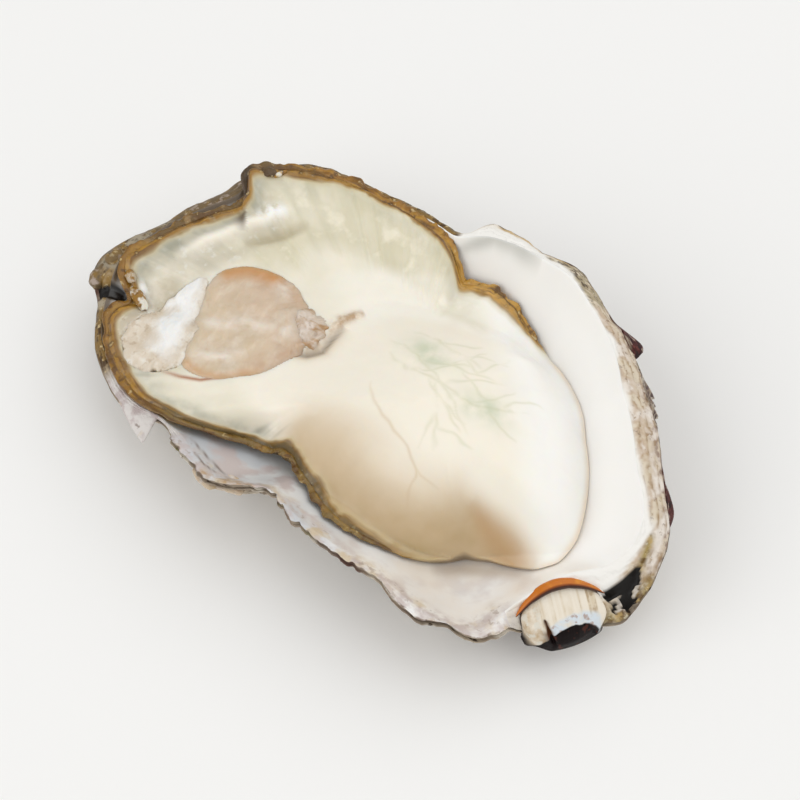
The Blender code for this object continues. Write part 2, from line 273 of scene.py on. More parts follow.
def bell(value, middle, width):
    """Gaussian: 1 at the middle, falling to 0.37 at `width` from it."""
    return np.exp(-(((value - middle) / width) ** 2))


def zero_to_one(value):
    """A field of -1 to 1 taken to 0 to 1."""
    return 0.5 + 0.5 * value


def stroke(x, y, line, width):
    """Closeness to a drawn line: a Gaussian of the distance to it, fading to nothing at its ends. The
    width is one number, or two for a line that widens evenly from its start to its end."""
    line, widths = np.array(line, float), np.broadcast_to(width, 2)
    best = np.zeros(np.broadcast(x, y).shape)
    pieces = len(line) - 1
    for number, (start, end) in enumerate(zip(line[:-1], line[1:])):
        along = end - start
        t = np.clip(((x - start[0]) * along[0] + (y - start[1]) * along[1]) / (along @ along), 0, 1)
        away = np.hypot(x - start[0] - t * along[0], y - start[1] - t * along[1])
        done = (number + t) / pieces
        fade = np.clip(np.minimum(done, 1 - done) * 4, 0, 1) ** 0.5
        wide = widths[0] + (widths[1] - widths[0]) * done
        best = np.maximum(best, bell(away, 0, wide) * fade)
    return best


def strokes(x, y, lines, width):
    """The largest closeness to any of several drawn lines."""
    return np.max([stroke(x, y, line, width) for line in lines], axis=0)


def rise(share, angle):
    """Profile of the cup from 0 in its middle to 1 at the rim: part of it climbs as the square of the
    share, and the rest by the wall's power."""
    even = evenness(angle)
    return even * share**2 + (1 - even) * share ** wall_power(angle)


def nacre(x, y):
    """Height of the cup's inner surface: its floor, with the profile times the depth on top."""
    angle, radius = polar(x, y)
    share = np.minimum(radius / rim_radius(angle), 1)
    return FLOOR + (rim_height(angle) - FLOOR) * rise(share, angle)


def ragged(angle, size, seed, octaves=3, at=40.0):
    """Uneven field along an angle: noise on a circle of radius `at`, so it closes on itself."""
    return noise(plan(*flat(angle, at)), size, seed, octaves)


def outer_radius(angle):
    """Broken outline: the rim and the edge's width, uneven by noise. On the near side the noise's size
    without its sign makes rounded scallops with sharp notches between them."""
    scallop = 1.6 * np.abs(ragged(angle, 8.0, 6, 1)) + 0.7 * np.abs(ragged(angle, 2.6, 8, 1)) - 0.7
    scallop = scallop + 0.35 * ragged(angle, 1.6, 7)
    uneven = 0.3 * ragged(angle, 4.0, 5) + scallop * near_side(angle)
    return rim_radius(angle) + edge_width(angle) + uneven


def near_side(angle):
    """1 along the thin near side, where the pale lining runs out to the broken outline."""
    return window(angle, -132, -38, 4)


def beside_spur(angle):
    """1 in the gap between the pale blade and the rest of the near edge."""
    return window(angle, -141, -137, 2)


HINGE_COS, HINGE_SIN = math.cos(HINGE_TURN), math.sin(HINGE_TURN)


def hinge_place(x, y):
    """Distances along the hinge and outward across it, from the middle of the block."""
    dx, dy = x - HINGE[0], y - HINGE[1]
    return dx * HINGE_COS + dy * HINGE_SIN, dx * HINGE_SIN - dy * HINGE_COS


def from_hinge(along, outward, height):
    """Points from their distances along the hinge and outward across it."""
    x = HINGE[0] + along * HINGE_COS + outward * HINGE_SIN
    return stack(x, HINGE[1] + along * HINGE_SIN - outward * HINGE_COS, height)


def hinge_swell(x, y):
    """How far the lining rises to meet the ligament: flat-topped along the hinge, a bell across it."""
    along, across = hinge_place(x, y)
    return 1.5 * np.exp(-((along / 6.5) ** 4)) * bell(across, -2.6, 3.0)


def underside(share, angle):
    """Height of the cup's outer surface at a share of its outer radius: the profile carried from below
    the table up to the outline, and level where it rests."""
    top = rim_height(angle) - edge_drop(angle) * (1 - 0.8 * near_side(angle)) - EDGE_THICK
    return np.maximum(0.0, (top + SINK) * rise(share, angle) - SINK)


def surface(name, points, finishes, fields=None, wrap=(False, True), poles=(True, True), bands=None):
    """Mesh over a grid of points, in rows of columns. A pole is a row that is one point. `bands` gives
    the finish of each face, and `fields` are values per point that the materials read."""
    rows, columns = points.shape[:2]
    index = np.arange(rows * columns).reshape(rows, columns)
    index[0] = index[0, 0] if poles[0] else index[0]
    index[-1] = index[-1, 0] if poles[1] else index[-1]
    index = np.pad(index, ((0, wrap[0]), (0, wrap[1])), mode="wrap")
    a, b, c, d = index[:-1, :-1], index[1:, :-1], index[1:, 1:], index[:-1, 1:]
    band = np.zeros(a.shape) if bands is None else np.broadcast_to(bands, (len(a), a.shape[1]))
    band = np.repeat(band.ravel(), 2)
    triangles = np.stack([a, b, c, a, c, d], axis=-1).reshape(-1, 3)
    whole = (np.diff(np.sort(triangles, axis=1), axis=1) > 0).all(axis=1)
    triangles, band = triangles[whole], band[whole]
    used, triangles = np.unique(triangles, return_inverse=True)
    mesh = bpy.data.meshes.new(name)
    mesh.vertices.add(len(used))
    mesh.vertices.foreach_set("co", (points.reshape(-1, 3)[used] * MM).astype(np.float32).ravel())
    mesh.loops.add(triangles.size)
    mesh.loops.foreach_set("vertex_index", triangles.ravel().astype(np.int32))
    mesh.polygons.add(triangles.size // 3)
    mesh.polygons.foreach_set("loop_start", np.arange(0, triangles.size, 3, dtype=np.int32))
    mesh.polygons.foreach_set("material_index", band.astype(np.int32))
    for field, values in (fields or {}).items():
        full = np.broadcast_to(values, (rows, columns)).reshape(-1)[used]
        mesh.attributes.new(field, "FLOAT", "POINT").data.foreach_set("value", full.astype(np.float32))
    mesh.update(calc_edges=True)
    mesh.shade_smooth()
    for finish in finishes:
        mesh.materials.append(finish)
    made = bpy.data.objects.new(name, mesh)
    bpy.context.scene.collection.objects.link(made)
    return made


def colour(code):
    """Linear colour from sRGB hex digits."""
    channels = [int(code[i : i + 2], 16) / 255 for i in (0, 2, 4)]
    return (*[c / 12.92 if c < 0.04045 else ((c + 0.055) / 1.055) ** 2.4 for c in channels], 1)


def node(tree, kind, settings=None, sockets=None):
    """Adds a node. settings are its properties; sockets give its inputs a value or another node's
    output. Returns its first enabled output."""
    made = tree.nodes.new(kind)
    for key, value in (settings or {}).items():
        setattr(made, key, value)
    for key, value in (sockets or {}).items():
        if isinstance(value, bpy.types.NodeSocket):
            tree.links.new(value, made.inputs[key])
        else:
            made.inputs[key].default_value = value
    return next((output for output in made.outputs if output.enabled), None)


def field(tree, name, low=0.0, high=1.0):
    """A mesh field, taken from low to high as 0 to 1."""
    value = node(tree, "ShaderNodeAttribute", {"attribute_name": name}).node.outputs["Fac"]
    return node(tree, "ShaderNodeMapRange", {}, {"Value": value, "From Min": low, "From Max": high})


def mottle(tree, size, low, high, stretch=(1, 1, 1), detail=3.0):
    """Uneven patches of about `size` millimetres in object space, taken from low to high as 0 to 1."""
    place = node(tree, "ShaderNodeTexCoord").node.outputs["Object"]
    place = node(tree, "ShaderNodeMapping", {}, {"Vector": place, "Scale": stretch})
    sockets = {"Vector": place, "Scale": 1 / (size * MM), "Detail": detail}
    value = node(tree, "ShaderNodeTexNoise", {}, sockets)
    return node(tree, "ShaderNodeMapRange", {}, {"Value": value, "From Min": low, "From Max": high})


def mask(tree, parts):
    """Product of its parts. A part is a field, by its name or as a name, low and high; a mottle, as a
    size, low, high and any stretch and detail; or a plain share."""
    total = None
    for part in parts:
        if isinstance(part, str):
            part = field(tree, part)
        elif isinstance(part, tuple):
            part = (field if isinstance(part[0], str) else mottle)(tree, *part)
        if total is not None:
            part = node(tree, "ShaderNodeMath", {"operation": "MULTIPLY"}, {0: total, 1: part})
        total = part
    return total


def layered(tree, base, coats):
    """Base colour with each coat, given as the parts of its mask and a colour, laid over the last."""
    base = colour(base)
    for *parts, code in coats:
        sockets = {0: mask(tree, parts), 6: base, 7: colour(code)}
        base = node(tree, "ShaderNodeMix", {"data_type": "RGBA"}, sockets)
    return base


def material(name, base, coats=(), bumps=(), **shader):
    """Principled surface: layered colour, bumps given as the parts of a height, its strength and its
    depth in millimetres, and the shader's own settings."""
    made = bpy.data.materials.new(name)
    made.use_nodes = True
    tree = made.node_tree
    principled = tree.nodes["Principled BSDF"]
    for key, value in shader.items():
        principled.inputs[key.replace("_", " ").title().replace("Ior", "IOR")].default_value = value
    tint = layered(tree, base, coats)
    if isinstance(tint, bpy.types.NodeSocket):
        tree.links.new(tint, principled.inputs["Base Color"])
    else:
        principled.inputs["Base Color"].default_value = tint
    normal = None
    for *parts, strength, depth in bumps:
        sockets = {"Height": mask(tree, parts), "Strength": strength, "Distance": depth * MM}
        if normal:
            sockets["Normal"] = normal
        normal = node(tree, "ShaderNodeBump", {}, sockets)
    if normal:
        tree.links.new(normal, principled.inputs["Normal"])
    return made


# Nacre: the smooth lining that the mantle lays down in thin films. The eye sees clean white with a
# soft satin light on it, greyer and faintly lilac where the film is thin. Its clouds are 5 to 14 mm
# across and its stains 1 to 4 mm.
NACRE = material(
    "nacre", "FBFAF7",
    [
        ("thin", (14, 0.3, 0.6), "CBCED2"),
        ("thin", (5, 0.5, 0.64), "CFC4C2"),
        ("warm", (9, 0.3, 0.7), 0.8, "EFE4D6"),
        ("stain", (2.4, 0.4, 0.6), 0.8, "C4B6B2"),
        ("stain", (4, 0.5, 0.62), 0.8, "D3C1A0"),
        ("stain", (1.1, 0.6, 0.68), 0.45, "94806F"),
        ("flake", (1.8, 0.4, 0.6), "B9966A"),
        ("lip_shade", "6B5B48"),
        ("flaw", "80716B"),
        ("algae", (1.5, 0.4, 0.6), "8A8A38"),
        ("lip_line", (2.5, 0.48, 0.56), 0.9, "6E5646"),
        # painted shadow of the curled lip, greying the lining below it
        ("curl", 0.65, "B6B7B1"),
        ("shadow", 0.5, "A18C70"),
        # near-black painted as the shade inside the worn hollow
        (("worn", 0.2, 0.55), "15100C"),
    ],
    [((3, 0.3, 0.7), 0.12, 0.15), ((11, 0.3, 0.7), 0.15, 0.4)],
    roughness=0.3, coat_weight=0.4, coat_roughness=0.2, subsurface_weight=0.15,
    subsurface_radius=(1, 0.9, 0.8), subsurface_scale=1.5 * MM,
)
# Calcite: the broken edge of the shell's plates. The eye sees thin layers of tan and grey, chalky and
# dull between them. The plates are a few tenths of a millimetre thick, which is too fine to show, so
# three or four coarser steps across the edge stand for them. Chips and stains are 1 to 4 mm.
EDGE_LAYERS = material(
    "calcite_edge", "DDD0BA",
    [
        (("layer", 0.35, 0.75), (2.5, 0.42, 0.62), 0.9, "A88A5E"),
        ("tanned", (3.0, 0.35, 0.6), 0.8, "CFBDAE"),
        ("tanned", ("over", 0.6, 0.35), (3.0, 0.4, 0.56), 0.9, "A88048"),
        ("tanned", ("over", 0.6, 0.9), (1.2, 0.45, 0.6), 0.8, "86695C"),
        ("tanned", (3.0, 0.46, 0.6), 0.9, "EDE5DB"),
        ("tanned", ("layer", 0.6, 0.9), (2.6, 0.42, 0.58), 0.75, "9A7C58"),
        ("tanned", (1.1, 0.62, 0.7), 0.6, "7E6450"),
        ("streaked", (1.8, 0.35, 0.5, (1, 2.5, 1)), "AEA083"),
        ("streaked", (1.2, 0.5, 0.6, (1, 2.5, 1)), "675947"),
        ("streaked", (0.9, 0.6, 0.68), "E6DDC8"),
        ("near", 0.95, "D8D3D0"),
        ("near", (2.4, 0.5, 0.62), 0.8, "B5A5A3"),
        ("near", (3.5, 0.56, 0.66), 0.8, "C9B38E"),
        ("near", (1.3, 0.64, 0.7), 0.7, "7A665A"),
        ("glaze", "F6F4EF"),
        ("gilt", (2.0, 0.3, 0.5), 0.8, "C7A566"),
        ("brown", (4, 0.05, 0.4), "8A6C36"),
        ("brown", ("over", 0.2, 0.9), (2.8, 0.45, 0.6), "6E6250"),
        ("brown", (1.3, 0.5, 0.6), "4C3517"),
        ("brown", (1.0, 0.6, 0.67), "C9B488"),
        ("greyed", (2.6, 0.3, 0.5), 0.85, "6E5D44"),
        ("greyed", (1.8, 0.54, 0.62), 0.8, "B3A296"),
        ("pale_lip", (2.4, 0.42, 0.56), 0.9, "A69B86"),
        ("pale_lip", (1.2, 0.52, 0.6), 0.8, "5E5340"),
        ("algae", (2.2, 0.3, 0.5), 0.9, "9A8438"),
        ("algae", (1.5, 0.44, 0.56), "5F4317"),
        ("algae", (1.6, 0.56, 0.64), 0.8, "C2A468"),
        ("algae", (0.9, 0.62, 0.68), "E4DCC0"),
        # near-black painted as the shade inside the sunk pit and the worn hollow
        (("pit", 0.25, 0.7), "0C0806"),
        (("fleck", 0.3, 0.7), "CFC6BA"),
    ],
    [("layer", 0.5, 0.2), ((0.9, 0.3, 0.7), 0.5, 0.15)],
    roughness=0.55, coat_weight=0.1, coat_roughness=0.2, specular_ior_level=0.3,
)
# Calcified ligament: ribs left by each year's growth at the hinge. The eye sees cream stripes and
# nearly black inside the hollow at the foot, with a bluish white ring round that hollow that is a painted
# highlight. The ribs are finer than half a millimetre and are drawn at 0.8 mm, so that they show.
HINGE_RIBS = material(
    "ligament_ribs", "EFE6D6",
    [
        (("stripe", 0.5, 0.8), (2.5, 0.3, 0.6), 0.6, "CFBB98"),
        (("stripe", 0.66, 0.8), (1.5, 0.5, 0.62), 0.6, "A38660"),
        ("rough", (2.0, 0.35, 0.6), 0.85, "BFA47E"),
        ("rough", (1.3, 0.55, 0.62), 0.8, "E2DED2"),
        # painted highlight: a bluish white ring round the hollow at the foot, with brown specks in it
        ("blue", (2.4, 0.3, 0.5), "DBE4EB"),
        ("blue", (1.2, 0.58, 0.66), 0.7, "A9826A"),
        ("groove", "4E2A12"),
        ("shade", "2E160A"),
        ("umbo", "120707"),
        (("umbo", 0.5, 1.0), (1.2, 0.6, 0.68), 0.7, "5A2E22"),
    ],
    [("stripe", 0.4, 0.2), ((0.9, 0.3, 0.7), 0.3, 0.1)],
    roughness=0.45, specular_ior_level=0.12,
)
# Weathered calcite: the outside, grown in plates and worn by the sea. The eye sees rough chalk and tan
# with purple-brown streaks and dried algae, in patches of 2 to 12 mm. Its grit is finer than the 0.9 mm
# that it is drawn at, so that it shows.
OUTSIDE = material(
    "weathered_calcite", "B9AA95",
    [
        ((12, 0.42, 0.62), "8E8072"),
        (("streak", 0.35, 0.8), (7, 0.35, 0.6), "5A3A34"),
        ((5, 0.56, 0.66), "DAD2C4"),
        (("lip", 0.6, 1.0), (3, 0.35, 0.6), "E3DACB"),
        ((1.6, 0.6, 0.68), "4A3B30"),
        ((9, 0.56, 0.68), (2, 0.4, 0.6), "7C7B4C"),
        ("speckle", (0.8, 0.48, 0.56), "5B4A48"),
        # near-black painted as the shade inside the worn hollow
        (("worn", 0.25, 0.6), "15100C"),
        (("maroon", 0.3, 0.6), 0.97, "480E10"),
        (("maroon", 0.3, 0.6), (1.4, 0.5, 0.6), 0.8, "16090A"),
        (("maroon", 0.3, 0.6), (0.9, 0.54, 0.6), 0.8, "6E3A34"),
        (("maroon", 0.3, 0.6), (1.6, 0.6, 0.65), 0.8, "BBA898"),
    ],
    [((4, 0.3, 0.7, (1, 1, 1), 6), 0.7, 0.8), ((0.9, 0.3, 0.7), 0.5, 0.2)],
    roughness=0.7, specular_ior_level=0.15,
)
# Raw oyster flesh: soft and full of water, so light passes into it. The eye sees cream with faint
# green and tan under a wet skin, in clouds of 4 to 10 mm. The skin's grain is about 0.1 mm and is drawn
# at 0.7 mm, so that it shows.
# Light and shade are painted into its colour too: the body lighter on the side towards the lights with a
# sheen along its upper edge, highlights on a fold, and shade in folds, creases, hollows and where the body
# meets the lining.
MEAT = material(
    "raw_flesh", "F6EFE0",
    [
        ("mantle", (10, 0.2, 0.6), "E9E3D0"),
        ("outer", (8, 0.2, 0.6), "D9D2B6"),
        ("outer", (4, 0.55, 0.7), 0.9, "F3ECD8"),
        ("left", (7, 0.3, 0.55), 0.8, "C9C1AA"),
        ("left", ("radial", 0.5, 0.9), 0.25, "9B9A88"),
        ("left", (2.0, 0.58, 0.7), 0.7, "E9E7DE"),
        ("halo", (4, 0.25, 0.6), 0.6, "A3A392"),
        ("halo", ("radial", 0.5, 0.85), 0.3, "7C7F6E"),
        # painted highlight along the fold's top, and painted shade in the folds' low lines and a bowl at the
        # free end
        ("crest", 0.9, "FAF4E6"),
        ("valley", 0.75, "B3A684"),
        (("striae", 0.45, 1.0), 0.28, "BDB99C"),
        # tan on the body's lower side: partly the flesh's own tan, partly painted shade on the side turned
        # from the lights
        ("low", 0.9, "C6AB80"),
        (("low", 0.5, 1.2), (8, 0.4, 0.6), 0.5, "B59A6C"),
        # painted light: the body's side towards the lights lighter, and a painted sheen along its upper edge
        ("bright", 0.9, "FEFCF7"),
        ("green", (4, 0.3, 0.6), 0.9, "CDD3B9"),
        ("network", (4, 0.3, 0.5), 0.32, "C6C69E"),
        ("vein", 0.33, "C6A878"),
        # painted shade: soft tan in the crease low on the body and in the hollow beside the muscle
        ("tan", 0.8, "C29C6E"),
        ("torn", (2.4, 0.35, 0.6), 0.85, "AF8A5C"),
        ("torn", (1.8, 0.52, 0.64), 0.8, "E9DCC8"),
        ("shred", 0.9, "CDBFA9"),
        ("shred", (2.2, 0.45, 0.6), "EDE7DB"),
        ("shred", (1.3, 0.56, 0.64), 0.8, "AE9576"),
        ("glint", (1.6, 0.35, 0.5), "F8F9F6"),
        # painted shade: along the body's lower edge where it meets the lining, in the crease under the torn
        # flap at the notch, and in the hollow beside the muscle
        ("dark", "5F4B33"),
        ("flat", 0.8, "A99768"),
        (("band", 0.0, 0.35), 0.65, "C9B888"),
        (("band", 0.22, 0.5), (3.0, 0.1, 0.4), 0.95, "94690E"),
        (("band", 0.3, 0.6), (2.0, 0.45, 0.62), 0.8, "B0821E"),
        (("band", 0.3, 0.5), "tawny", (3, 0.1, 0.5), 0.85, "CC9E48"),
        (("band", 0.25, 0.6), ("grain", 0.46, 0.66), 0.8, "664410"),
        (("band", 0.5, 0.8), (1.3, 0.5, 0.62), 0.8, "503512"),
        (("band", 0.4, 0.6), (1.3, 0.64, 0.7), 0.6, "D3BC84"),
        (("band", 0.4, 0.6), "olive", (3, 0.1, 0.5), 0.8, "655734"),
        ("border", 0.6, "E7C9A6"),
        ("slit", 0.9, "A5602E"),
    ],
    [((2.5, 0.3, 0.7), 0.12, 0.2), ((0.7, 0.3, 0.7), 0.08, 0.08)],
    roughness=0.38, coat_weight=0.45, coat_roughness=0.16, subsurface_weight=0.35,
    subsurface_radius=(1, 0.72, 0.45), subsurface_scale=2.0 * MM,
)
# Mantle pigment: the frilled edge of the living skin. The eye sees wet gold where it is thin and nearly
# black at its tips, in specks of 1 to 3 mm.
FRINGE = material(
    "mantle_pigment", "A1732A",
    [
        ((2.5, 0.46, 0.62), "BA8C30"),
        ("golden", (3.0, 0.2, 0.5), 0.8, "8C651D"),
        (("tip", 0.3, 0.9), (1.8, 0.35, 0.6), 0.6, "6E4C1C"),
        ("olive", (2.0, 0.1, 0.5), 0.75, "6E5E32"),
        ("tawny", (1.8, 0.2, 0.5), 0.8, "C69A46"),
        ("greyed", (2.2, 0.2, 0.45), "6E5426"),
        ("greyed", (1.8, 0.54, 0.62), 0.6, "A2875E"),
        (("grain", 0.55, 0.8), 0.8, "5C3C0E"),
        ((1.3, 0.56, 0.66), 0.85, "5E3E12"),
        # painted shade: deep brown in the crease under the torn flap at the notch, and on the dimple's lump
        ("notch", 0.9, "45341F"),
        # white specks: the pale chip's own colour, and on the folds painted sparkle highlights
        ("frost", (1.4, 0.46, 0.58), 0.9, "E9E6DA"),
        ((1.2, 0.65, 0.71), 0.6, "D6C493"),
    ],
    [((0.6, 0.3, 0.7), 0.4, 0.2)],
    roughness=0.35, coat_weight=0.45, coat_roughness=0.1, subsurface_weight=0.2,
    subsurface_radius=(1, 0.6, 0.3), subsurface_scale=0.8 * MM, specular_ior_level=0.3,
)
# Smooth muscle, cut across with a knife: the quick part. The eye sees glassy pink-tan with light well
# inside it. The fibres are about 0.1 mm thick, so bundles of 1.2 to 1.6 mm are drawn for them.
QUICK_FLESH = material(
    "quick_muscle", "D5C1A5",
    [
        ("pink", 0.6, "D0B69E"),
        ((6, 0.45, 0.7), "CBB79C"),
        ((1.6, 0.5, 0.75, (1, 0.35, 1)), 0.6, "E2D3BE"),
        ((3.0, 0.54, 0.7), 0.5, "E6DACA"),
        ("warm", (3.5, 0.3, 0.55), 0.85, "BF9E80"),
        ("frost", (2.6, 0.3, 0.6), 0.75, "EBE2D6"),
        ("rim", "CB955C"),
    ],
    [((1.6, 0.3, 0.7), 0.15, 0.25), ((1.2, 0.3, 0.7, (1, 0.35, 1)), 0.15, 0.15)],
    roughness=0.3, coat_weight=0.7, coat_roughness=0.12, subsurface_weight=0.5,
    subsurface_radius=(1, 0.65, 0.4), subsurface_scale=3.0 * MM,
)
# Smooth muscle, torn: the catch part. The eye sees opaque white and tan, wet, with fibres that are
# drawn as bundles of 1 to 1.4 mm.
CATCH_FLESH = material(
    "catch_muscle", "DCCFBC",
    [
        ((4.0, 0.45, 0.65), 0.8, "C9B79E"),
        ((2.6, 0.48, 0.64), "EBE4D8"),
        ((1.4, 0.58, 0.68), 0.5, "B39A7A"),
        (("streak", 0.15, 0.75), "F2F1EE"),
        (("streak", 0.5, 0.9), (3.5, 0.5, 0.66), 0.7, "E6EAEA"),
    ],
    [((1.0, 0.3, 0.7, (1, 0.35, 1)), 0.4, 0.25)],
    roughness=0.35, coat_weight=0.7, coat_roughness=0.1, subsurface_weight=0.3,
    subsurface_radius=(1, 0.85, 0.7), subsurface_scale=1.5 * MM,
)
# Torn membrane: a wet grey film that held the muscle, crumpled by the knife. The eye sees it shine,
# with brown flecks of 1.6 to 3 mm.
MEMBRANE = material(
    "torn_membrane", "CFBEAC",
    [
        ((3.0, 0.42, 0.56, (0.45, 1.6, 1)), 0.85, "AE8450"),
        ((2.6, 0.52, 0.66), 0.85, "E4D9CF"),
        ((1.6, 0.58, 0.68), 0.5, "8A6A45"),
    ],
    [((1.2, 0.3, 0.7), 0.3, 0.2)],
    roughness=0.25, coat_weight=0.9, coat_roughness=0.06, subsurface_weight=0.4,
    subsurface_radius=(1, 0.8, 0.6), subsurface_scale=1.5 * MM,
)
# Conchiolin: the horny, springy protein of the ligament. The eye sees clear orange where it is thin;
# its outward, lower side is painted deep brown as shade.
LIGAMENT = material(
    "conchiolin", "C66E08",
    [
        ((1.5, 0.52, 0.68), 0.6, "E09424"),
        # painted shade: the crescent's outward, lower side deep brown
        (("under", 0.1, 0.55), "843F06"),
        (("under", 0.6, 0.9), "3E1C08"),
    ],
    [((0.7, 0.3, 0.7), 0.3, 0.1)],
    roughness=0.35, coat_weight=0.3, coat_roughness=0.1, subsurface_weight=0.1,
    subsurface_radius=(1, 0.5, 0.2), subsurface_scale=0.8 * MM, specular_ior_level=0.3,
)


# Pit beside the hinge, the algae round it, the worn hollow at the far end, cracks and flakes, and painted
# shadow lines.
PIT_TIP = (49.2, -8.2)
PIT = [
    [PIT_TIP, (48.4, -11.2), (47.2, -13.4), (46.6, -14.8)],
    [PIT_TIP, (49.4, -12.2), (48.6, -15.4)],
    [PIT_TIP, (50.2, -11.4), (50.8, -14.0)],
]
PIT_FLECKS = [[(48.6, -13.2), (49.6, -14.8)], [(50.0, -10.4), (50.5, -11.8)]]
ALGAE = [(47.0, -18.8), (48.8, -16.4), (50.6, -13.4), (51.9, -10.4), (52.2, -8.2)]
ALGAE_LINE = [(49.6, -9.4), (49.2, -6.6), (48.9, -4.2)]
# line of the painted shadow below the curled lip
CURL_SHADOW = [(-6.0, 25.0), (-2.4, 27.0), (1.1, 28.4), (4.4, 28.6), (7.4, 28.2), (10.4, 27.8)]
BODY_SHADE = [(20.2, -23.4), (23.8, -20.5), (27.2, -19.0), (30.4, -17.7), (35.2, -16.4)]
LIP_HOLLOW = [
    [(-49.0, -8.4), (-52.0, -9.8), (-54.2, -11.0), (-57.0, -12.2)],
    [(-56.0, -8.6), (-55.0, -10.6), (-53.8, -13.6)],
]
CRACKS = [
    [(-24.0, -26.0), (-20.1, -27.4), (-17.6, -28.2), (-14.0, -29.4)],
    [(-21.5, -28.4), (-18.5, -29.6), (-16.0, -29.8)],
]
FLAKE = [(-18.9, -31.6), (-15.5, -31.2), (-12.0, -30.2), (-8.6, -28.8)]
SHELL_COLUMNS, LINING_ROWS, EDGE_ROWS, OUTSIDE_ROWS = 720, 60, 16, 60


def worn_lip(x, y):
    """1 inside the worn hollow at the end away from the hinge."""
    return smooth((strokes(x, y, LIP_HOLLOW, 1.4) - 0.3) * 3)


def block_seat(x, y):
    """How deep the shell is cut away under the hinge block."""
    along, outward = hinge_place(x, y)
    return 1.8 * window(along, -5.8, 5.8, 0.8) * smooth((outward + 1.5) / 2.0)


def lining(angle):
    """Rows from the cup's middle out to the rim: the cup's profile, with faint swells, a rise to the
    ligament and the worn hollow let into its last rows."""
    share = toward_edge(LINING_ROWS, 1.3)
    x, y = flat(angle, rim_radius(angle) * share)
    swell = 0.1 * noise(plan(x, y), 9.0, 21, 2) * window(share, 0.4, 0.93, 0.1)
    return stack(x, y, nacre(x, y) + swell + hinge_swell(x, y) - 0.8 * worn_lip(x, y) * (share > 0.9))


def broken_edge(angle):
    """Rows across the broken edge: it falls by a power of the way out, or rises a little on the near
    side, with a saw-tooth step at each layer, uneven by noise, less the pit, the worn hollow and the
    block's seat. Also gives the layers and the marks left in them."""
    t = np.linspace(0, 1, EDGE_ROWS + 1)[1:, None]
    x, y = flat(angle, rim_radius(angle) + (outer_radius(angle) - rim_radius(angle)) * t)
    near = near_side(angle)
    warp = 0.9 * ragged(angle, 7.0, 31) + 0.35 * noise(plan(x, y), 1.8, 32)
    steps = np.mod(t * 3.4 + warp, 1)
    bumps = 0.2 * noise(plan(x, y), 2.2, 33) * smooth(t * 2) * (1 - 0.6 * near)
    bumps = bumps + 0.22 * steps * smooth(t * 3) * (1 - 0.7 * near)
    pit = smooth((strokes(x, y, PIT, (0.35, 1.1)) - 0.35) * 4)
    fleck = smooth((strokes(x, y, PIT_FLECKS, 0.5) - 0.4) * 4)
    hollow = worn_lip(x, y)
    sunk = 1.8 * np.maximum(pit - fleck, 0) + 1.4 * hollow + block_seat(x, y)
    drop = edge_drop(angle) * t**EDGE_ROUND * (1 - near) - 0.5 * near * t
    z = rim_height(angle) - drop + hinge_swell(x, y) * (1 - t) + bumps - sunk
    # the pit mark carries the painted shade inside the pit and the worn hollow
    marks = {"layer": steps, "pit": np.maximum(pit * (1 - fleck), hollow), "fleck": fleck * pit}
    return stack(x, y, z), marks


def outside(angle):
    """Rows from the outline back under to the middle: the underside's profile, standing off by a
    saw-tooth step at each growth line and by noise where it is clear of the table. Also gives the steps."""
    share = 1 - np.linspace(0, 1, OUTSIDE_ROWS + 1)[1:, None] ** 0.9
    radius = outer_radius(angle) * share
    seat = block_seat(*flat(angle, outer_radius(angle))) * smooth((share - 0.8) * 5)
    bottom = np.maximum(0.0, underside(share, angle) - seat)
    clear = smooth(bottom / LAYER_CLEAR) * (1 - 0.9 * beside_spur(angle))
    tooth = np.mod((1 - share) * 17 + 0.5 * ragged(angle, 12.0, 41), 1)
    rough = noise(stack(*flat(angle, radius), bottom), 7.0, 43, 4)
    out = clear * zero_to_one(tooth + rough - 1) * window(share, 0.0, 0.98, 0.02)
    x, y = flat(angle, radius + out)
    return stack(x, y, np.maximum(0.0, bottom - 0.4 * clear * rough)), tooth


def glazed(angle, over, x, y):
    """How far the white lining runs out over the broken edge: a little all along the hinge side, right
    across at a few places, and over the shoulders of the hinge."""
    along, outward = hinge_place(x, y)
    reach = 0.2 + 0.16 * window(angle, 66, 100, 4) + 0.25 * ragged(angle, 5.0, 35)
    film = smooth((reach - over) / 0.3) * window(angle, -38, 100, 4)
    film = film + window(angle, -24, -5, 3) * smooth((49.0 - np.hypot(x, y)) / 0.5)
    film = film + window(angle, 72, 99, 4) * smooth(1.5 - over * 1.1)
    film = film + window(angle, -36, -14, 3) * smooth((-1.2 - outward) / 0.5)
    film = film + window(angle, -46, -28, 5) * smooth((-5.2 - along) / 1.4) * 0.45
    return np.clip(film, 0, 1)


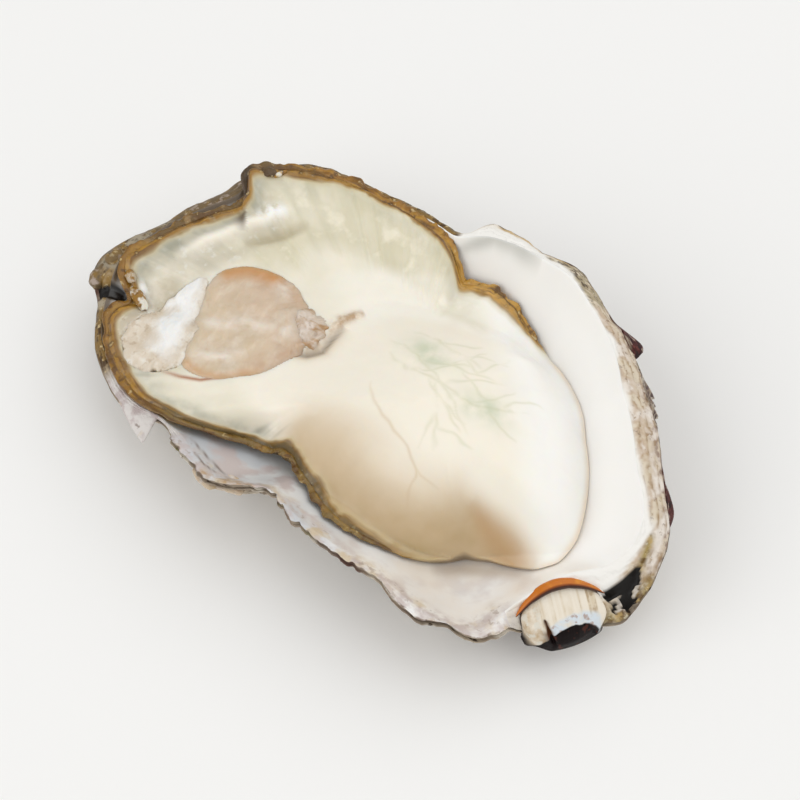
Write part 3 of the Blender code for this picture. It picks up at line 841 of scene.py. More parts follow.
def shell():
    """The valve in one closed skin: the rows of the lining, the broken edge and the outside in turn."""
    angle = round_angles(SHELL_COLUMNS)
    edge, marks = broken_edge(angle)
    outer, tooth = outside(angle)
    points = np.concatenate([lining(angle), edge, outer])
    rows = len(points)
    row = np.arange(rows)[:, None]
    inward = np.minimum(row / (LINING_ROWS - 1), 1)
    over = np.clip((row - LINING_ROWS + 1) / EDGE_ROWS, 0, 1)
    x, y, z = np.moveaxis(points, -1, 0)
    a = angle + 0 * row
    near = near_side(a)

    def placed(values, start):
        """The values of one part, with 0 on the rows of the others."""
        return np.pad(values, ((start, rows - start - len(values)), (0, 0)))

    fields = {name: placed(values, LINING_ROWS) for name, values in marks.items()}
    fields |= {
        "thin": smooth((-58 - a) / 30) * smooth((a + 156) / 8) + 0.4 * window(a, -60, -30, 8),
        "warm": window(a, -72, -22, 10) * smooth((inward - 0.3) / 0.3),
        "stain": window(a, *NEAR_FACE) * smooth((inward - 0.84 + 0.05 * ragged(a, 6.0, 37)) / 0.12),
        "flaw": np.clip(sum(stroke(x, y, line, 0.16) for line in CRACKS), 0, 1),
        "flake": stroke(x, y, FLAKE, 1.1),
        # painted shadow below the curled lip
        "curl": stroke(x, y, CURL_SHADOW, (0.5, 0.9)) * (row < LINING_ROWS),
        "shadow": stroke(x, y, BODY_SHADE, (1.3, 1.5)),
        "gilt": window(a, 66, 88, 3) * smooth((over - 0.72) / 0.1),
        "greyed": window(a, 150, 176, 4),
        "glaze": glazed(a, over, x, y),
        "near": window(a, *NEAR_FACE),
        "tanned": window(a, -14, 46, 4),
        "pale_lip": sector(a, 173, 186, 1.5) + window(a, -169, -166, 1.0),
        "streaked": window(a, 50, 68, 3),
        "brown": smooth((a - 99) / 4) + smooth((-150 - a) / 5),
        "lip_shade": (smooth((a - 112) / 6) + smooth((-152 - a) / 5)) * smooth((inward - 0.92) / 0.05),
        "lip_line": near * smooth((over - 0.8) / 0.12),
        "over": over,
        # painted shade inside the worn hollow
        "worn": strokes(x, y, LIP_HOLLOW, 1.5) * smooth((z - 8) / 2),
        "algae": 0.9 * stroke(x, y, ALGAE, 1.1) * (row >= LINING_ROWS) + stroke(x, y, ALGAE_LINE, 0.5),
        "streak": zero_to_one(ragged(a, 7.0, 61)),
        "lip": placed(tooth, LINING_ROWS + EDGE_ROWS),
    }
    # Faces of the lining, and of the edge along the near side, are nacre; then calcite; then the outside.
    face = row[:-1]
    lined = (face < LINING_ROWS - 1) | (near > 0.5)[:-1]
    bands = np.where(face < LINING_ROWS + EDGE_ROWS - 1, np.where(lined, 0, 1), 2)
    return surface("shell_valve", points, [NACRE, EDGE_LAYERS, OUTSIDE], fields, bands=bands)


# Blade on the near side: its root, the run to its tip and the bend of that run; the directions of its
# width and its thickness; and its half width, half thickness and what is left of them at the tip.
SPUR_ROOT, SPUR_RUN, SPUR_BEND = np.array([[-36.2, -24.3, 12.0], [4.5, -5.1, -2.2], [-1.2, -0.6, 0.4]])
SPUR_ACROSS, SPUR_UP = np.array([[0.985, -0.10, 0.12], [0.25, -0.25, 0.93]])
SPUR_WIDE, SPUR_THICK, SPUR_TIP = 5.3, 1.1, 0.05


def spur():
    """Pale blade left on the near side where the edge broke: a flattened oval carried from the edge to
    its tip, narrowing to a point with a slight hook."""
    along = np.linspace(0, 1, 60)[:, None]
    turns = np.radians(np.arange(0, 360, 6))
    centre = SPUR_ROOT + along[..., None] * SPUR_RUN + (along * (1 - along))[..., None] * SPUR_BEND
    wide = SPUR_WIDE * (1 - along) ** 0.8 + SPUR_TIP
    thick = SPUR_THICK * (1 - along) ** 0.6 + SPUR_TIP
    flute = 1 + 0.25 * np.cos(turns * 3) * (1 - along)
    across = (wide * np.cos(turns))[..., None] * SPUR_ACROSS
    points = centre + across + (thick * flute * np.sin(turns))[..., None] * SPUR_UP
    points = points + 0.15 * noise(points, 1.6, 47)[..., None] * SPUR_UP
    edge = smooth((np.abs(np.cos(turns)) - 0.9) / 0.1) + 0 * along
    fields = {"near": 1.0, "lip_line": edge, "stain": 1.0}
    return surface("edge_spur", points[:, ::-1], [EDGE_LAYERS], fields)


BLOCK_HALF = 6.6  # half the hinge block's length
BLOCK_END = 6.3  # where its ends close, from its middle
BLOCK_ARCH = 1.9  # how far its top rises in the middle


def hinge_block():
    """Ribbed block under the ligament. Its section runs from a lower corner up a bulging outer face to
    a top corner that follows the arch above it, and back inside the shell. It is carried along the
    hinge, wider at its top than at its foot, with a worn hollow low in its outer face."""
    along = np.linspace(-1, 1, 190)[:, None]
    face = np.linspace(0, 1, 80)
    u = BLOCK_HALF * along
    reach_left = 5.3 + 1.5 * face
    reach_right = 5.7 + 1.7 * smooth(face * 1.6) - 0.5 * smooth(face * 3 - 2)
    side = along * np.where(along < 0, reach_left, reach_right)
    left = smooth((-2.0 - u) / 3.0)
    foot_n, foot_z = 5.5 - 1.0 * (u / 5.5) ** 2 - 0.5 * left, 6.0 + 1.2 * left
    top_n, top_z = 0.1 - 2.3 * (1 - along**2), 11.4 + BLOCK_ARCH * (1 - along**2)
    run_n, run_z = top_n - foot_n, top_z - foot_z
    length = np.hypot(run_n, run_z)
    rib = 0.16 * noise(stack(side, 0.15 * face, 0.0), 0.9, 51)
    chips = 0.35 * noise(stack(side, 6 * face, 0.0), 2.6, 52) * (0.35 + left)
    bulge = (1.4 + rib + chips - 0.3 * left) * np.sin(np.pi * face) ** 0.7
    n = foot_n + run_n * face + bulge * run_z / length
    z = foot_z + run_z * face - bulge * run_n / length
    oval = 1 - ((side - 0.2) / 5.3) ** 2 - ((z - 6.2 - 0.16 * side) / 3.5) ** 2
    crack = bell(side + 0.25 * (z - 9), -2.5, 0.32) * window(z, 6.5, 10.6, 0.8)
    stain = bell(side, -2.9, 0.8) * window(z, 6.6, 9.4, 0.8)
    n = n - 0.9 * smooth(oval / 0.35) - 0.7 * crack

    back_n = np.concatenate([top_n - 0.3, top_n + 1.5, foot_n - 2.5, foot_n - 0.8], axis=1)
    back_z = np.concatenate([top_z - 2.5, foot_z - 1.0, foot_z - 2.2, foot_z - 1.2], axis=1)
    closing = (1 - np.abs(along) ** 26) ** 0.5
    middle_n, middle_z = (top_n + foot_n) / 2, (top_z + foot_z) / 2 - 0.5
    section_n = middle_n + (np.concatenate([n, back_n], axis=1) - middle_n) * closing
    section_z = middle_z + (np.concatenate([z, back_z], axis=1) - middle_z) * closing
    behind = back_n.shape[1]

    def row(values):
        """The values of the outer face, its last one carried on round the back."""
        return np.pad(values + 0 * side, ((0, 0), (0, behind)), mode="edge")

    # The ends close on one point, so the height has no say in how far along the hinge they lie.
    place = row(side) * closing + np.sign(along) * BLOCK_END * (1 - closing)
    points = from_hinge(place, section_n, section_z)
    ring = smooth((oval + 1.05) / 0.4) * (oval < 0.1)
    at_back = (np.arange(len(face) + behind) > len(face)) * 1.0
    fields = {
        "stripe": zero_to_one(noise(stack(place, 0 * section_n, 0.0), 0.8, 53)),
        "rough": row(left),
        "groove": row(np.clip(crack + 0.8 * stain, 0, 1)),
        # painted highlight round the hollow at the foot
        "blue": row(ring * window(side, -2.0, 5.4, 0.8)),
        "umbo": np.maximum(row(smooth((oval + 0.05) / 0.12)), at_back),
        "shade": row(smooth((face - 0.95) / 0.04)),
    }
    return surface("hinge_block", points, [HINGE_RIBS], fields)


def growth_layer(number, share, stand):
    """One ruffled plate round the outside: a wedge-shaped loop carried round the shell, its root in the
    shell and its free edge standing off by an uneven, torn amount, or by a long scale's reach."""
    angle = round_angles(SHELL_COLUMNS)
    seed = 100 + 10 * number
    outermost = number == 0
    uneven = 0.75 + 0.7 * ragged(angle, 6.0, seed)
    torn = smooth((ragged(angle, 3.0, seed + 1) - 0.35) * 4)
    clear = smooth(underside(share, angle) / LAYER_CLEAR)
    proud = stand * clear * np.clip(uneven - 0.8 * torn, 0.05, 1.6) * (1 - 0.9 * beside_spur(angle))
    proud = proud * (1 - 0.9 * near_side(angle) * outermost)
    for centre, half_width, reach, owner in SCALES:
        away = np.abs((angle - centre + 180) % 360 - 180) / half_width
        proud = proud + (owner == number) * reach * np.clip(1 - away**2, 0, 1) * (1 - 0.12 * torn)
    ruffle = 0.35 * clear * ragged(angle, 4.0, seed + 2)
    along, stood = np.array(LAYER_SECTION).T[..., None]
    place = share + LAYER_LIP * along
    free = np.maximum(stood, 0)
    radius = outer_radius(angle) * place + proud * free + 0.8 * np.minimum(stood, 0)
    x, y = flat(angle, radius)
    z = underside(place, angle) - 0.35 * proud * free + ruffle * free
    points = stack(x, y, np.maximum(z, LAYER_SUNK * (number + 3)))
    blotch = noise(points, 3.0, 63)
    fields = {
        "lip": free,
        "streak": zero_to_one(ragged(angle, 7.0, 61 + number % 3)),
        "maroon": outermost * (window(angle, 38, 48, 8) + window(angle, 0, 6, 7)) * (0.8 + 0.9 * blotch),
        "speckle": outermost * window(angle, 8, 36, 3) * (1 + 0.5 * blotch),
    }
    return surface(f"growth_layer_{number}", points, [OUTSIDE], fields, **CLOSED_RING)


def muscle_share(x, y):
    """How far out a place is in the muscle's hollow, as a share: below 1 is inside either part."""
    angle, radius = polar(x, y, QUICK_CENTRE)
    quick = radius / quick_radius(angle)
    angle, radius = polar(x, y, CATCH_CENTRE)
    return np.minimum(quick, radius / catch_radius(angle))


# Lines on the meat, from where they start to where they end.
FOLD = [(-45.7, 0.6), (-43.4, 6.2), (-39.9, 11.7), (-36.8, 14.9), (-33.5, 19.5)]
FOLD_SHADE = [(-37.8, 9.5), (-35.0, 12.2), (-32.2, 14.6), (-30.0, 18.5)]
NOTCH = [(-48.0, 23.3), (-45.1, 19.4), (-42.4, 15.8), (-39.0, 11.2)]
HOLLOW = [(-18.6, -4.6), (-16.0, -3.4), (-14.2, -1.6), (-14.2, 1.4), (-13.6, 4.4)]
TORN = [
    [(-17.4, -0.6), (-15.6, 2.2), (-14.6, 5.4), (-13.0, 7.6)],
    [(-16.0, 4.4), (-14.0, 6.4), (-12.2, 8.4)],
    [(-18.4, -3.4), (-16.2, -1.4), (-15.6, 1.6)],
]
GLINT = [[(-38.4, 14.6), (-36.4, 16.6), (-34.2, 18.4)], [(-47.0, -6.0), (-48.4, -8.6)]]
NOTCH_FLAT = [(-45.8, 19.6), (-44.0, 21.2), (-41.4, 22.6), (-38.6, 23.8)]
BOWL_SHADE = [(-45.0, -3.6), (-42.6, -5.8), (-41.4, -8.2)]
VEIN = [(-3.0, -4.3), (0.0, -7.6), (3.7, -9.8), (8.6, -12.2), (12.1, -14.8), (13.1, -18.2), (13.9, -19.9)]
VEIN_BRANCH = [(11.0, -14.0), (13.0, -15.2), (16.5, -15.5)]
CREASE = [(21.6, -14.0), (24.6, -14.5), (27.8, -15.0), (30.8, -15.5), (34.4, -16.4)]
TAN_EDGE = [
    (6.0, -2.0), (13.0, -5.5), (17.5, -9.0), (20.5, -11.8), (24.5, -12.8), (28.5, -13.0), (36.0, -13.6),
    (42.0, -14.5),
]
SLIT = [(-35.6, -18.6), (-31.5, -17.9), (-28.2, -16.8), (-25.2, -14.4), (-22.8, -11.4), (-21.6, -7.2)]
# Faint green veins: start, heading in degrees, length, times that it forks, seed.
VEINS = [((-5.0, 5.2), -10, 24, 2, 3), ((-4.0, 2.0), -34, 19, 1, 5), ((-2.0, 7.4), 6, 14, 1, 9)]


def pleats(angle):
    """Fine pleats that run in from the margin."""
    return ragged(angle, 1.2, 77, 2)


def pleated(angle, share):
    """1 where the pleats show along the upper mantle."""
    return window(share, *PLEAT_ROWS) * window(angle, 98, 150, 8)


def left_side(angle):
    """1 on the mantle's free end, from above the muscle round to below it."""
    return sector(angle, *FREE_END)


def past_notch(x, y):
    """Distance from the notch's line, above 0 on the side of the long upper margin."""
    return (x + 43.2) * 0.79 + (y - 17.3) * 0.61


def shredded(x, y):
    """1 where torn shreds of the white muscle lie over the mantle: a bell each way."""
    return bell(x, -43.5, 4.5) * bell(y, -13.5, 7.0)


def twigs(start, heading, length, forks, seed):
    """A vein with its side twigs as lines: each wanders by small repeatable turns and forks in three,
    to either side in turn, at a little over half its length."""
    steps = np.arange(6)
    turn = np.cumsum(14 * (2 * lattice(steps, forks, 0, seed) - 1))
    ahead = np.stack(flat(heading + turn, length / 6), axis=-1)
    line = np.concatenate([[start], start + np.cumsum(ahead, axis=0)])
    lines = [line]
    for place, side in ((2, 1), (3, -1), (4, 1)) if forks else ():
        away = heading + turn[place - 1] + 34 * side
        lines += twigs(line[place], away, 0.56 * length, forks - 1, seed * 3 + place)
    return lines


def meat_height(x, y, detail=True, hollow=True):
    """Height of the meat: the mantle climbing from its margin, the body's pillow, the hollow for the
    muscle, and folds and creases along their lines."""
    angle, radius = polar(x, y)
    margin = margin_radius(angle)
    share = np.minimum(radius / margin, 1)
    border = nacre(*flat(angle, margin)) + margin_lift(angle) + MARGIN_THICK
    skirt = border + (SKIRT_HEIGHT - border) * smooth((1 - share) * SKIRT_RISE)
    around, out = polar(x, y, BODY_CENTRE)
    reach = out / body_radius(around)
    fullness = np.clip(1 - reach**BODY_FULLNESS, 0, 1) ** (0.5 + 0.3 * window(around, -45, 60, 20))
    crown = BODY_CROWN - BODY_FALL * smooth((BODY_FALL_FROM - x) / BODY_FALL_LENGTH)
    z = soft_max(skirt, BODY_BASE + (crown - BODY_BASE) * fullness, BODY_JOIN)
    z = z - MUSCLE_HOLLOW * smooth((0.98 - muscle_share(x, y)) / 0.07) * hollow
    z = z + 0.9 * stroke(x, y, FOLD, 1.6) - 0.6 * stroke(x, y, FOLD_SHADE, 0.9)
    z = z - 0.9 * stroke(x, y, HOLLOW, 1.0) + 0.5 * strokes(x, y, TORN, 0.6)
    z = z - 0.5 * stroke(x, y, CREASE, 1.8)
    away = np.minimum((1 - share) * margin, 30)
    roll = band_strength(angle) * bell(away, 1.2, 0.9)
    z = z + 0.4 * roll
    if detail:
        points = plan(x, y)
        z = z + 0.10 * noise(points, 7.0, 71) + 0.04 * noise(points, 1.6, 73, 2)
        z = z + 0.3 * roll * noise(points, 1.5, 75, 2)
        at_free_end = window(share, *PLEAT_ROWS) * left_side(angle)
        z = z + 0.12 * pleats(angle) * (pleated(angle, share) + at_free_end)
        z = z + 0.07 * np.sin((reach - 1) * 26) * window(around, 70, 140, 15) * window(reach, 0.9, 1.08, 0.04)
        z = z + 0.35 * shredded(x, y) * noise(points, 2.6, 79)
    return np.maximum(z, nacre(x, y) + BED_GAP + LEAST_THICK)


def meat():
    """The soft body as rows from its middle out to the margin, where it is rolled and faintly
    scalloped, and back under it just clear of the nacre."""
    angle = round_angles(880)
    margin = margin_radius(angle) + 0.3 * band_strength(angle) * ragged(angle, 1.8, 81, 2)
    x, y = flat(angle, margin * toward_edge(104, 1.25))
    # The mantle is torn at the notch: flesh on its upper side stands over the rest.
    torn = 1.0 * stroke(x - 1.2, y - 0.9, NOTCH, 2.6) * smooth(past_notch(x, y) / 0.5 + 0.5)
    top = stack(x, y, meat_height(x, y) + torn)
    share = np.array([0.995, 0.97, 0.93, 0.8, 0.5, 0.0])[:, None]
    x, y = flat(angle, margin * share)
    lift = 0.6 * margin_lift(angle) * smooth((share - 0.8) / 0.2)
    points = np.concatenate([top, stack(x, y, nacre(x, y) + BED_GAP + lift)])
    return surface("oyster_flesh", points, [MEAT], meat_fields(points, margin))


def meat_fields(points, margin):
    """Where each tint of the flesh lies. `away` is the distance in from the margin, `reach` the share of
    the way out of the body, and `flow` and `wander` the noise that keeps borders from being even."""
    x, y, z = np.moveaxis(points, -1, 0)
    a, radius = polar(x, y)
    share = radius / margin
    away = np.maximum(margin_radius(a) - radius, 0)
    width = band_width(a) * (1 + 0.3 * ragged(a, 5.0, 83, 2))
    uneven = away + 0.3 * noise(plan(x, y), 2.2, 84, 2) * smooth(away / 0.8)
    low_down = smooth(1.6 - (z - nacre(x, y)))
    around, out = polar(x, y, BODY_CENTRE)
    reach = out / body_radius(around)
    flow = noise(plan(x, y), 12.0, 87, 2)
    vx = x + 0.7 * noise(plan(x, y), 3.0, 89, 2)
    vy = y + 0.7 * noise(plan(x, y), 3.0, 90, 2)
    veins = [line for vein in VEINS for line in twigs(*vein)]
    tan_side = smooth((np.interp(x, *np.array(TAN_EDGE).T) - y + 0.6 * flow) / 5.0 + 0.45)
    tan_out = smooth((reach - 0.3 + 0.10 * flow) / 0.62) * smooth((1.35 - reach) / 0.15)
    # painted light on the body's right side, and painted sheen along its upper edge
    sunlit = smooth((0.75 * x + 0.66 * y - 12 + 1.5 * flow) / 9) * (reach < 1.6)
    upper_edge_sheen = 0.35 * window(reach, 0.84, 1.1, 0.12) * window(around, 40, 150, 20)
    # painted shadow where the body meets the lining, and painted shade in the crease under the flap
    contact_shadow = 0.6 * window(a, -46, -27, 5) * low_down * smooth(1.2 - away / 0.4)
    notch_crease_shade = stroke(x, y, NOTCH, (2.8, 1.0)) * (past_notch(x, y) < 0.4)
    halo = left_side(a) + sector(a, 205, 232, 8) + 0.25 * window(a, 95, 155, 8)
    in_band = np.clip(1 - uneven / np.maximum(width, 0.3), 0, 1) * (share > 0.3)
    return {
        "mantle": 1 - smooth((1.04 - reach) / 0.2),
        "outer": window(a, 70, 165, 10) * window(share, 0.7, 1.0, 0.12),
        "left": left_side(a) * window(share, 0.8, 1.0, 0.08),
        # painted highlight on the fold's top; painted shade in the low lines beside it and in the bowl
        "crest": stroke(x, y, FOLD, 1.3),
        "valley": np.maximum(stroke(x, y, FOLD_SHADE, 0.9), 0.6 * stroke(x, y, BOWL_SHADE, 2.0)),
        "radial": zero_to_one(pleats(a)),
        "striae": zero_to_one(pleats(a)) * pleated(a, share),
        # partly the flesh's own tan, partly painted shade on the body's lower side
        "low": tan_out * window(around, -150, 0, 16) * tan_side * smooth((x + 15) / 7),
        "bright": np.clip(sunlit + upper_edge_sheen, 0, 1),
        "green": bell(vx, 3.0, 4.8) * bell(vy, 4.2, 2.6) + bell(vx, 16.0, 4.2) * bell(vy, 0, 2.4),
        "network": strokes(vx, vy, veins, 0.26),
        "vein": np.maximum(stroke(vx, y, VEIN, 0.26), 0.7 * stroke(vx, y, VEIN_BRANCH, 0.22)),
        # painted shade in the crease and in the hollow beside the muscle
        "tan": np.clip(0.85 * stroke(x, y, CREASE, (1.2, 2.6)) + 0.4 * stroke(x, y, HOLLOW, 1.8), 0, 1),
        "torn": np.clip(1.3 * strokes(x, y, TORN, 0.9), 0, 1),
        "glint": strokes(x, y, GLINT, 1.3),
        "flat": stroke(x, y, NOTCH_FLAT, 1.7),
        "dark": np.clip(contact_shadow + notch_crease_shade + 0.6 * stroke(x, y, HOLLOW, 0.6), 0, 1),
        "halo": bell(away, 1.1 * width + 0.4, 0.5 + 0.5 * width) * halo,
        "border": bell(away, 0, 0.7) * window(a, -20, 42, 6),
        "shred": shredded(x, y),
        "band": band_strength(a) * in_band,
        "grain": zero_to_one(noise(stack(*flat(a, GRAIN_ROUND), away * GRAIN_IN), 1.0, 85, 2)),
        "olive": sector(a, *OLIVE_PART),
        "tawny": sector(a, *TAWNY_PART),
        "slit": stroke(x, y, SLIT, 0.32),
    }


# Grain of the coloured margin: noise on a small circle, so that it is drawn out along the margin.
GRAIN_ROUND, GRAIN_IN = 8.0, 2.4
FRINGE_START, FRINGE_END = 50, 312  # degrees
FRINGE_REACH, FRINGE_THICK = 1.35, 0.24


def fringe():
    """The frilled edge of the mantle: a flat oval carried along the margin, ruffled unevenly by noise
    along its length and thinning to nothing at both ends."""
    angle = np.linspace(FRINGE_START, FRINGE_END, 2400)
    x, y = flat(angle, margin_radius(angle) - 0.5)
    z = meat_height(x, y, detail=False)
    along = np.gradient(np.stack([x, y], -1), axis=0)
    along = along / np.linalg.norm(along, axis=1, keepdims=True)
    fade = smooth(np.minimum(angle - FRINGE_START, FRINGE_END - angle) / 8)
    fade = fade * np.clip(band_strength(angle), 0.02, 1)
    uneven = 1 + 0.45 * ragged(angle, 2.5, 120, 2)
    calm = 1 - 0.55 * window(angle, 50, 100, 6)
    turns = np.linspace(0, 2 * math.pi, 15)[:, None]
    outward = zero_to_one(-np.cos(turns))
    across = outward * FRINGE_REACH * fade * uneven * (0.6 + 0.4 * calm)
    frill = (0.3 * ragged(angle, 1.3, 122, 2) + 0.15 * ragged(angle, 0.6, 123, 1)) * fade * outward * calm
    px = x + along[:, 1] * (across + 0.5 * frill)
    py = y - along[:, 0] * (across + 0.5 * frill)
    rolled = z - 0.15 - np.sin(turns) * FRINGE_THICK * fade * uneven
    fields = {
        "tip": outward + 0.35 * ragged(angle, 3.0, 124),
        "golden": sector(angle, 184, 222, 6),
        "greyed": sector(angle, 150, 178, 4),
        "grain": zero_to_one(noise(stack(*flat(angle, GRAIN_ROUND), outward * GRAIN_IN), 1.0, 86, 2)),
        # painted shade in the crease under the torn flap
        "notch": sector(angle, 154.2, 157.2, 1.0),
        "olive": sector(angle, *OLIVE_PART),
        "tawny": sector(angle, *TAWNY_PART),
    }
    points = stack(px, py, rolled + 0.12 * across + frill)
    return surface("mantle_fringe", points, [FRINGE], fields, **OPEN_STRIP)


PLUG_DEEP = 11.5  # height that a lump of flesh set in the hollow goes down to, at most


def plug(name, centre, radius_of, top_of, finish, fields_of=None, columns=300, rows=64):
    """A lump of flesh about its centre: rows from the middle of its top out to its outline, rounded
    over its shoulder, then down and back to a point beneath."""
    angle = round_angles(columns)
    share = toward_edge(rows, 1.4)
    x, y = flat(angle, radius_of(angle) * share, centre)
    level = meat_height(x, y, detail=False, hollow=False)
    top = level + top_of(x, y, share) - 0.5 * (1 - np.sqrt(np.clip(1 - share**14, 0, 1)))
    deep = np.array([1.0, 0.7, 0.0])[:, None]
    under_x, under_y = flat(angle, radius_of(angle) * deep, centre)
    base = stack(under_x, under_y, np.minimum(nacre(under_x, under_y) + 1.0, PLUG_DEEP))
    points = np.concatenate([stack(x, y, top), base])
    x, y, _ = np.moveaxis(points, -1, 0)
    full = np.concatenate([share, deep * 0 + 1]) + 0 * angle
    fields = fields_of(x, y, full, angle + 0 * full) if fields_of else None
    return surface(name, points, [finish], fields)


# Where the white part is thickest, and thin white films left lying across the other.
WHITE_STREAK = [(-42.0, 3.0), (-39.8, -4.0), (-38.6, -10.0), (-36.4, -17.5)]
FROST = [
    [(-35.5, -7.5), (-32.0, -6.5), (-28.0, -4.0), (-23.0, -2.0)],
    [(-30.0, 6.6), (-27.0, 5.6), (-24.5, 3.0)],
    [(-24.0, 2.0), (-21.5, -1.0), (-21.0, -4.5)],
    [(-33.0, -13.5), (-28.0, -12.0), (-24.5, -8.5)],
]


def quick_muscle():
    """The glassy part: a plug with a faintly domed top, uneven by noise, and films lying on it."""

    def radius(angle):
        return quick_radius(angle) * (1.0 + 0.025 * ragged(angle, 2.5, 96, at=12.0))

    def top(x, y, share):
        uneven = 0.15 * noise(plan(x, y), 8.0, 91, 2) + 0.07 * noise(plan(x, y), 1.5, 93, 2)
        return 0.55 - 0.35 * share**4 + uneven + 0.25 * strokes(x, y, FROST, 1.0)

    def fields(x, y, share, angle):
        crescent = smooth((share - 0.66) / 0.24) * window(angle, 98, 138, 14)
        edge = smooth((share - 0.80) / 0.15)
        tinted = 0.2 * window(angle, 30, 96, 12) + 0.5 * window(angle, -110, -45, 12) + 0.08
        return {
            "rim": 0.85 * crescent + edge * tinted,
            "pink": smooth((y + 7 + 0.3 * (x + 28)) / 7),
            "warm": smooth((share - 0.45) / 0.5) * window(angle, -45, 105, 20),
            "frost": np.clip(strokes(x, y, FROST, 1.3) + 0.2 * edge, 0, 1),
        }

    return plug("quick_muscle", QUICK_CENTRE, radius, top, QUICK_FLESH, fields)


def catch_muscle():
    """The torn part: a plug whose outline and top are shredded by noise drawn out along the fibres."""

    def radius(angle):
        return catch_radius(angle) * (1.02 + 0.12 * ragged(angle, 2.6, 95, at=12.0))

    def top(x, y, share):
        shreds = noise(plan(x, y) * (1, 0.5, 1), 3.4, 97, 4)
        return 0.45 - 0.25 * share**2 + 0.45 * shreds * smooth((1.1 - share) / 0.3)

    def fields(x, y, share, angle):
        tear = noise(plan(x, y), 3.2, 98)
        streak = stroke(x + 1.3 * tear, y - 1.0 * tear, WHITE_STREAK, (1.8, 3.0))
        return {"streak": streak * (1 + 0.3 * tear)}

    return plug("catch_muscle", CATCH_CENTRE, radius, top, CATCH_FLESH, fields)


def membrane():
    """Crumpled film beside the muscle: a low plug, ragged round and wrinkled by noise."""
    torn = outline(MEMBRANE_EDGE, blur=8)

    def radius(angle):
        return torn(angle) * (1 + 0.17 * ragged(angle, 2.2, 99, at=9.0))

    def top(x, y, share):
        return 0.6 + 0.45 * noise(plan(x, y), 2.8, 101) - 0.6 * share**2

    return plug("torn_membrane", MEMBRANE_CENTRE, radius, top, MEMBRANE, columns=240, rows=50)


ARCH_HALF, ARCH_RISE = 7.3, 2.25  # of the ligament
LIGAMENT_ACROSS, LIGAMENT_UP = 1.0, 0.8  # half sizes of its section


def ligament():
    """Crescent over the hinge block: an oval carried along an arch, thickest in the middle and
    thinning to nothing at both ends."""
    along = np.linspace(-1, 1, 160)
    turns = np.linspace(0, 2 * math.pi, 21)[:, None]
    thick = (1 - along**2) ** 0.6 * (1 + 0.12 * noise(stack(along * 7, 0, 0), 2.0, 111, 2))
    n = 0.3 - 2.5 * (1 - along**2) + LIGAMENT_ACROSS * thick * np.cos(turns)
    z = 11.6 + ARCH_RISE * (1 - along**2) + LIGAMENT_UP * thick * np.sin(turns)
    # painted shade on the crescent's outward, lower side
    fields = {"under": smooth(np.cos(turns) * 1.5 - 0.4 + 0 * along)}
    points = from_hinge(ARCH_HALF * along, n, z)
    return surface("hinge_ligament_fine", points, [LIGAMENT], fields, **OPEN_STRIP)


# Lumps of old shell on the rim: name, centre, three radii, turn in degrees, and what the finish reads.
SHELL_LUMPS = [
    ("left", (-56.1, -7.4, 12.6), (1.8, 2.3, 1.7), 0, {"brown": 1.0, "greyed": 1.0}),
    ("left_top", (-55.4, -3.6, 14.4), (1.5, 2.0, 1.2), 0, {"brown": 1.0, "greyed": 0.7}),
    ("scallop", (-17.5, -30.9, 13.7), (2.5, 1.4, 0.6), -20, {"near": 1.0, "gilt": 0.6}),
    ("scallop_between", (-15.2, -30.4, 13.7), (2.2, 1.3, 0.5), -10, {"near": 1.0, "gilt": 0.4}),
    ("scallop_next", (-13.0, -29.9, 13.8), (2.2, 1.4, 0.6), -10, {"near": 1.0, "gilt": 0.6}),
]
# Folds, a dimple and a pale chip on the mantle: the same, with the centre in plan. The dimple is a low
# lump painted deep brown as the shade inside it, and the white specks on the folds are painted sparkle
# highlights.
FLESH_LUMPS = [
    # white specks on the folds are painted sparkle highlights
    ("fold", (-47.2, -8.3), (3.2, 1.1, 0.6), -31, {"golden": 1.0, "tip": 0.2, "frost": 1.0}),
    ("fold_next", (-50.2, -6.2), (1.5, 0.9, 0.8), -40, {"golden": 1.0, "tip": 0.5, "frost": 0.5}),
    # a low lump painted deep brown as the shade inside a dimple
    ("shaded_dimple", (-41.2, 22.5), (1.5, 1.1, 0.35), 20, {"notch": 1.0}),
    ("top_chip", (-39.3, 23.5), (0.5, 1.3, 0.4), -25, {"frost": 1.0}),
]


def lump(name, centre, radii, turn, finish, fields):
    """Ball drawn out to three radii, dented by noise along them and turned about the vertical through
    its centre: rows from its top point to its lowest."""
    fall = np.linspace(0, math.pi, 40)[:, None]
    round_it = np.radians(np.arange(0, 360, 6))
    unit = stack(np.sin(fall) * np.cos(round_it), np.sin(fall) * np.sin(round_it), np.cos(fall))
    dents = 1 + 0.22 * noise(unit + centre, 1.1, 131)[..., None]
    x, y, z = np.moveaxis(unit * dents * radii, -1, 0)
    cos, sin = math.cos(math.radians(turn)), math.sin(math.radians(turn))
    points = stack(x * cos - y * sin, x * sin + y * cos, z) + centre
    return surface(f"lump_{name}", points, [finish], fields)


def flesh_lump(name, place, radii, turn, fields):
    """A lump whose centre lies just above the meat at its place in plan."""
    height = float(meat_height(np.array(place[0]), np.array(place[1]), detail=False))
    return lump(name, (*place, height + 0.1), radii, turn, FRINGE, fields)


# Studio, in metres and watts: half the floor's size, how far it lies below the shell, and the lights by
# name, place, power and size.
FLOOR_HALF, FLOOR_DROP = 1.5, 0.0002
LIGHTS = [
    ("key", (0.15, 0.40, 0.75), 2.9, 1.1),
    ("side", (0.75, 0.10, 0.45), 1.0, 0.8),
    ("fill", (-0.40, -0.60, 0.55), 3.6, 1.0),
]
# Camera: the height that it looks at and its distance from there, in millimetres, its turn round from
# the front and its tilt above level.
AIM_HEIGHT, AWAY = 10, 315
TURN, TILT = math.radians(32), math.radians(58)


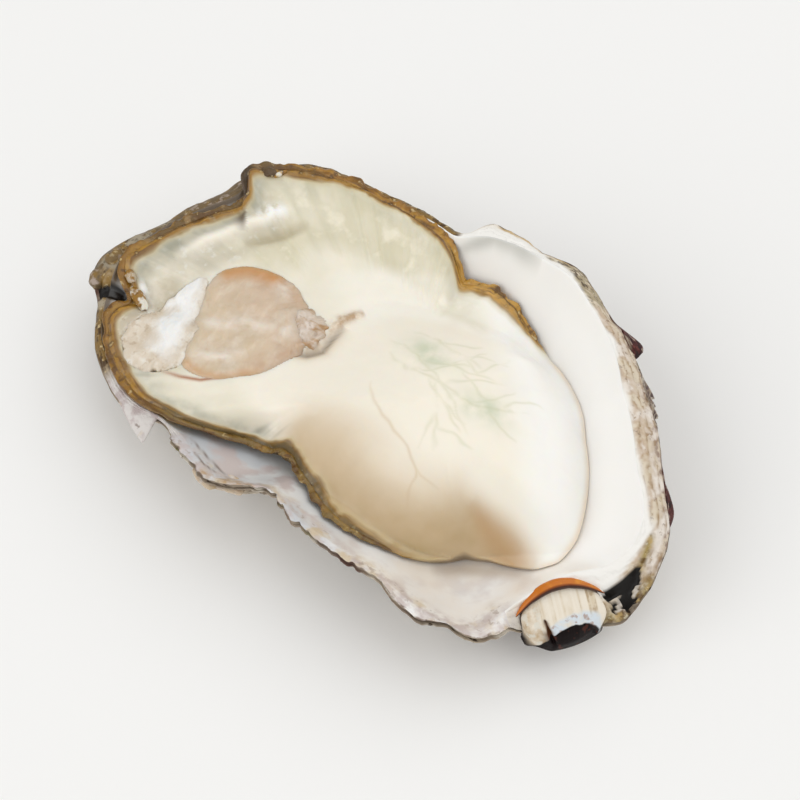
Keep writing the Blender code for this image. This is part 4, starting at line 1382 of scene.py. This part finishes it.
def stand(name, data, place, aim):
    """Puts a camera or light at a place, looking at its aim."""
    made = bpy.data.objects.new(name, data)
    made.location = place
    made.rotation_euler = (aim - Vector(place)).to_track_quat("-Z", "Y").to_euler()
    bpy.context.scene.collection.objects.link(made)
    return made


def studio():
    """Pale floor, camera looking down at the shell, and large soft lights."""
    corners = [(x * FLOOR_HALF, y * FLOOR_HALF, -FLOOR_DROP) for x, y in ((-1, -1), (1, -1), (1, 1), (-1, 1))]
    floor = bpy.data.meshes.new("studio_floor")
    floor.from_pydata(corners, [], [(0, 1, 2, 3)])
    floor.materials.append(material("matt_card", "F6F6F5", roughness=0.9))
    board = bpy.data.objects.new("studio_floor", floor)
    bpy.context.scene.collection.objects.link(board)

    aim = Vector((0, 0, AIM_HEIGHT)) * MM
    level = math.cos(TILT)
    back = Vector((math.sin(TURN) * level, -math.cos(TURN) * level, math.sin(TILT)))
    lens = bpy.data.cameras.new("camera")
    lens.lens, lens.sensor_width, lens.clip_start = 85, 36, 0.01
    bpy.context.scene.camera = stand("camera", lens, aim + back * AWAY * MM, aim)
    for name, place, power, width in LIGHTS:
        light = bpy.data.lights.new(name, "AREA")
        light.energy, light.size = power, width
        stand(name, light, place, Vector())
    world = bpy.data.worlds.new("room")
    bpy.context.scene.world = world
    world.use_nodes = True
    backdrop = world.node_tree.nodes["Background"]
    backdrop.inputs["Color"].default_value = colour("FBFAF8")
    backdrop.inputs["Strength"].default_value = 0.54
    bpy.context.scene.view_settings.view_transform = "Standard"


def main():
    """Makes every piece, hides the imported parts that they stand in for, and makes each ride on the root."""
    valve = shell()
    layers = [growth_layer(number, *layer) for number, layer in enumerate(LAYERS)]
    flesh = meat()
    frill = fringe()
    blade, block = spur(), hinge_block()
    quick, catch, film, strip = quick_muscle(), catch_muscle(), membrane(), ligament()
    layers += [lump(*shape, EDGE_LAYERS, fields) for *shape, fields in SHELL_LUMPS]
    folds = [flesh_lump(*fold) for fold in FLESH_LUMPS]
    for piece in [valve, *layers, blade, block]:
        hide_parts("shell")
    for piece in [flesh, frill, film, *folds]:
        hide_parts("meat")
    for piece, name in ((quick, "adductor_quick"), (catch, "adductor_catch")):
        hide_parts(name)
    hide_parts("hinge_ligament")
    for piece in [valve, *layers, blade, block, flesh, frill, film, *folds, quick, catch, strip]:
        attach(piece, "root")
    studio()


main()
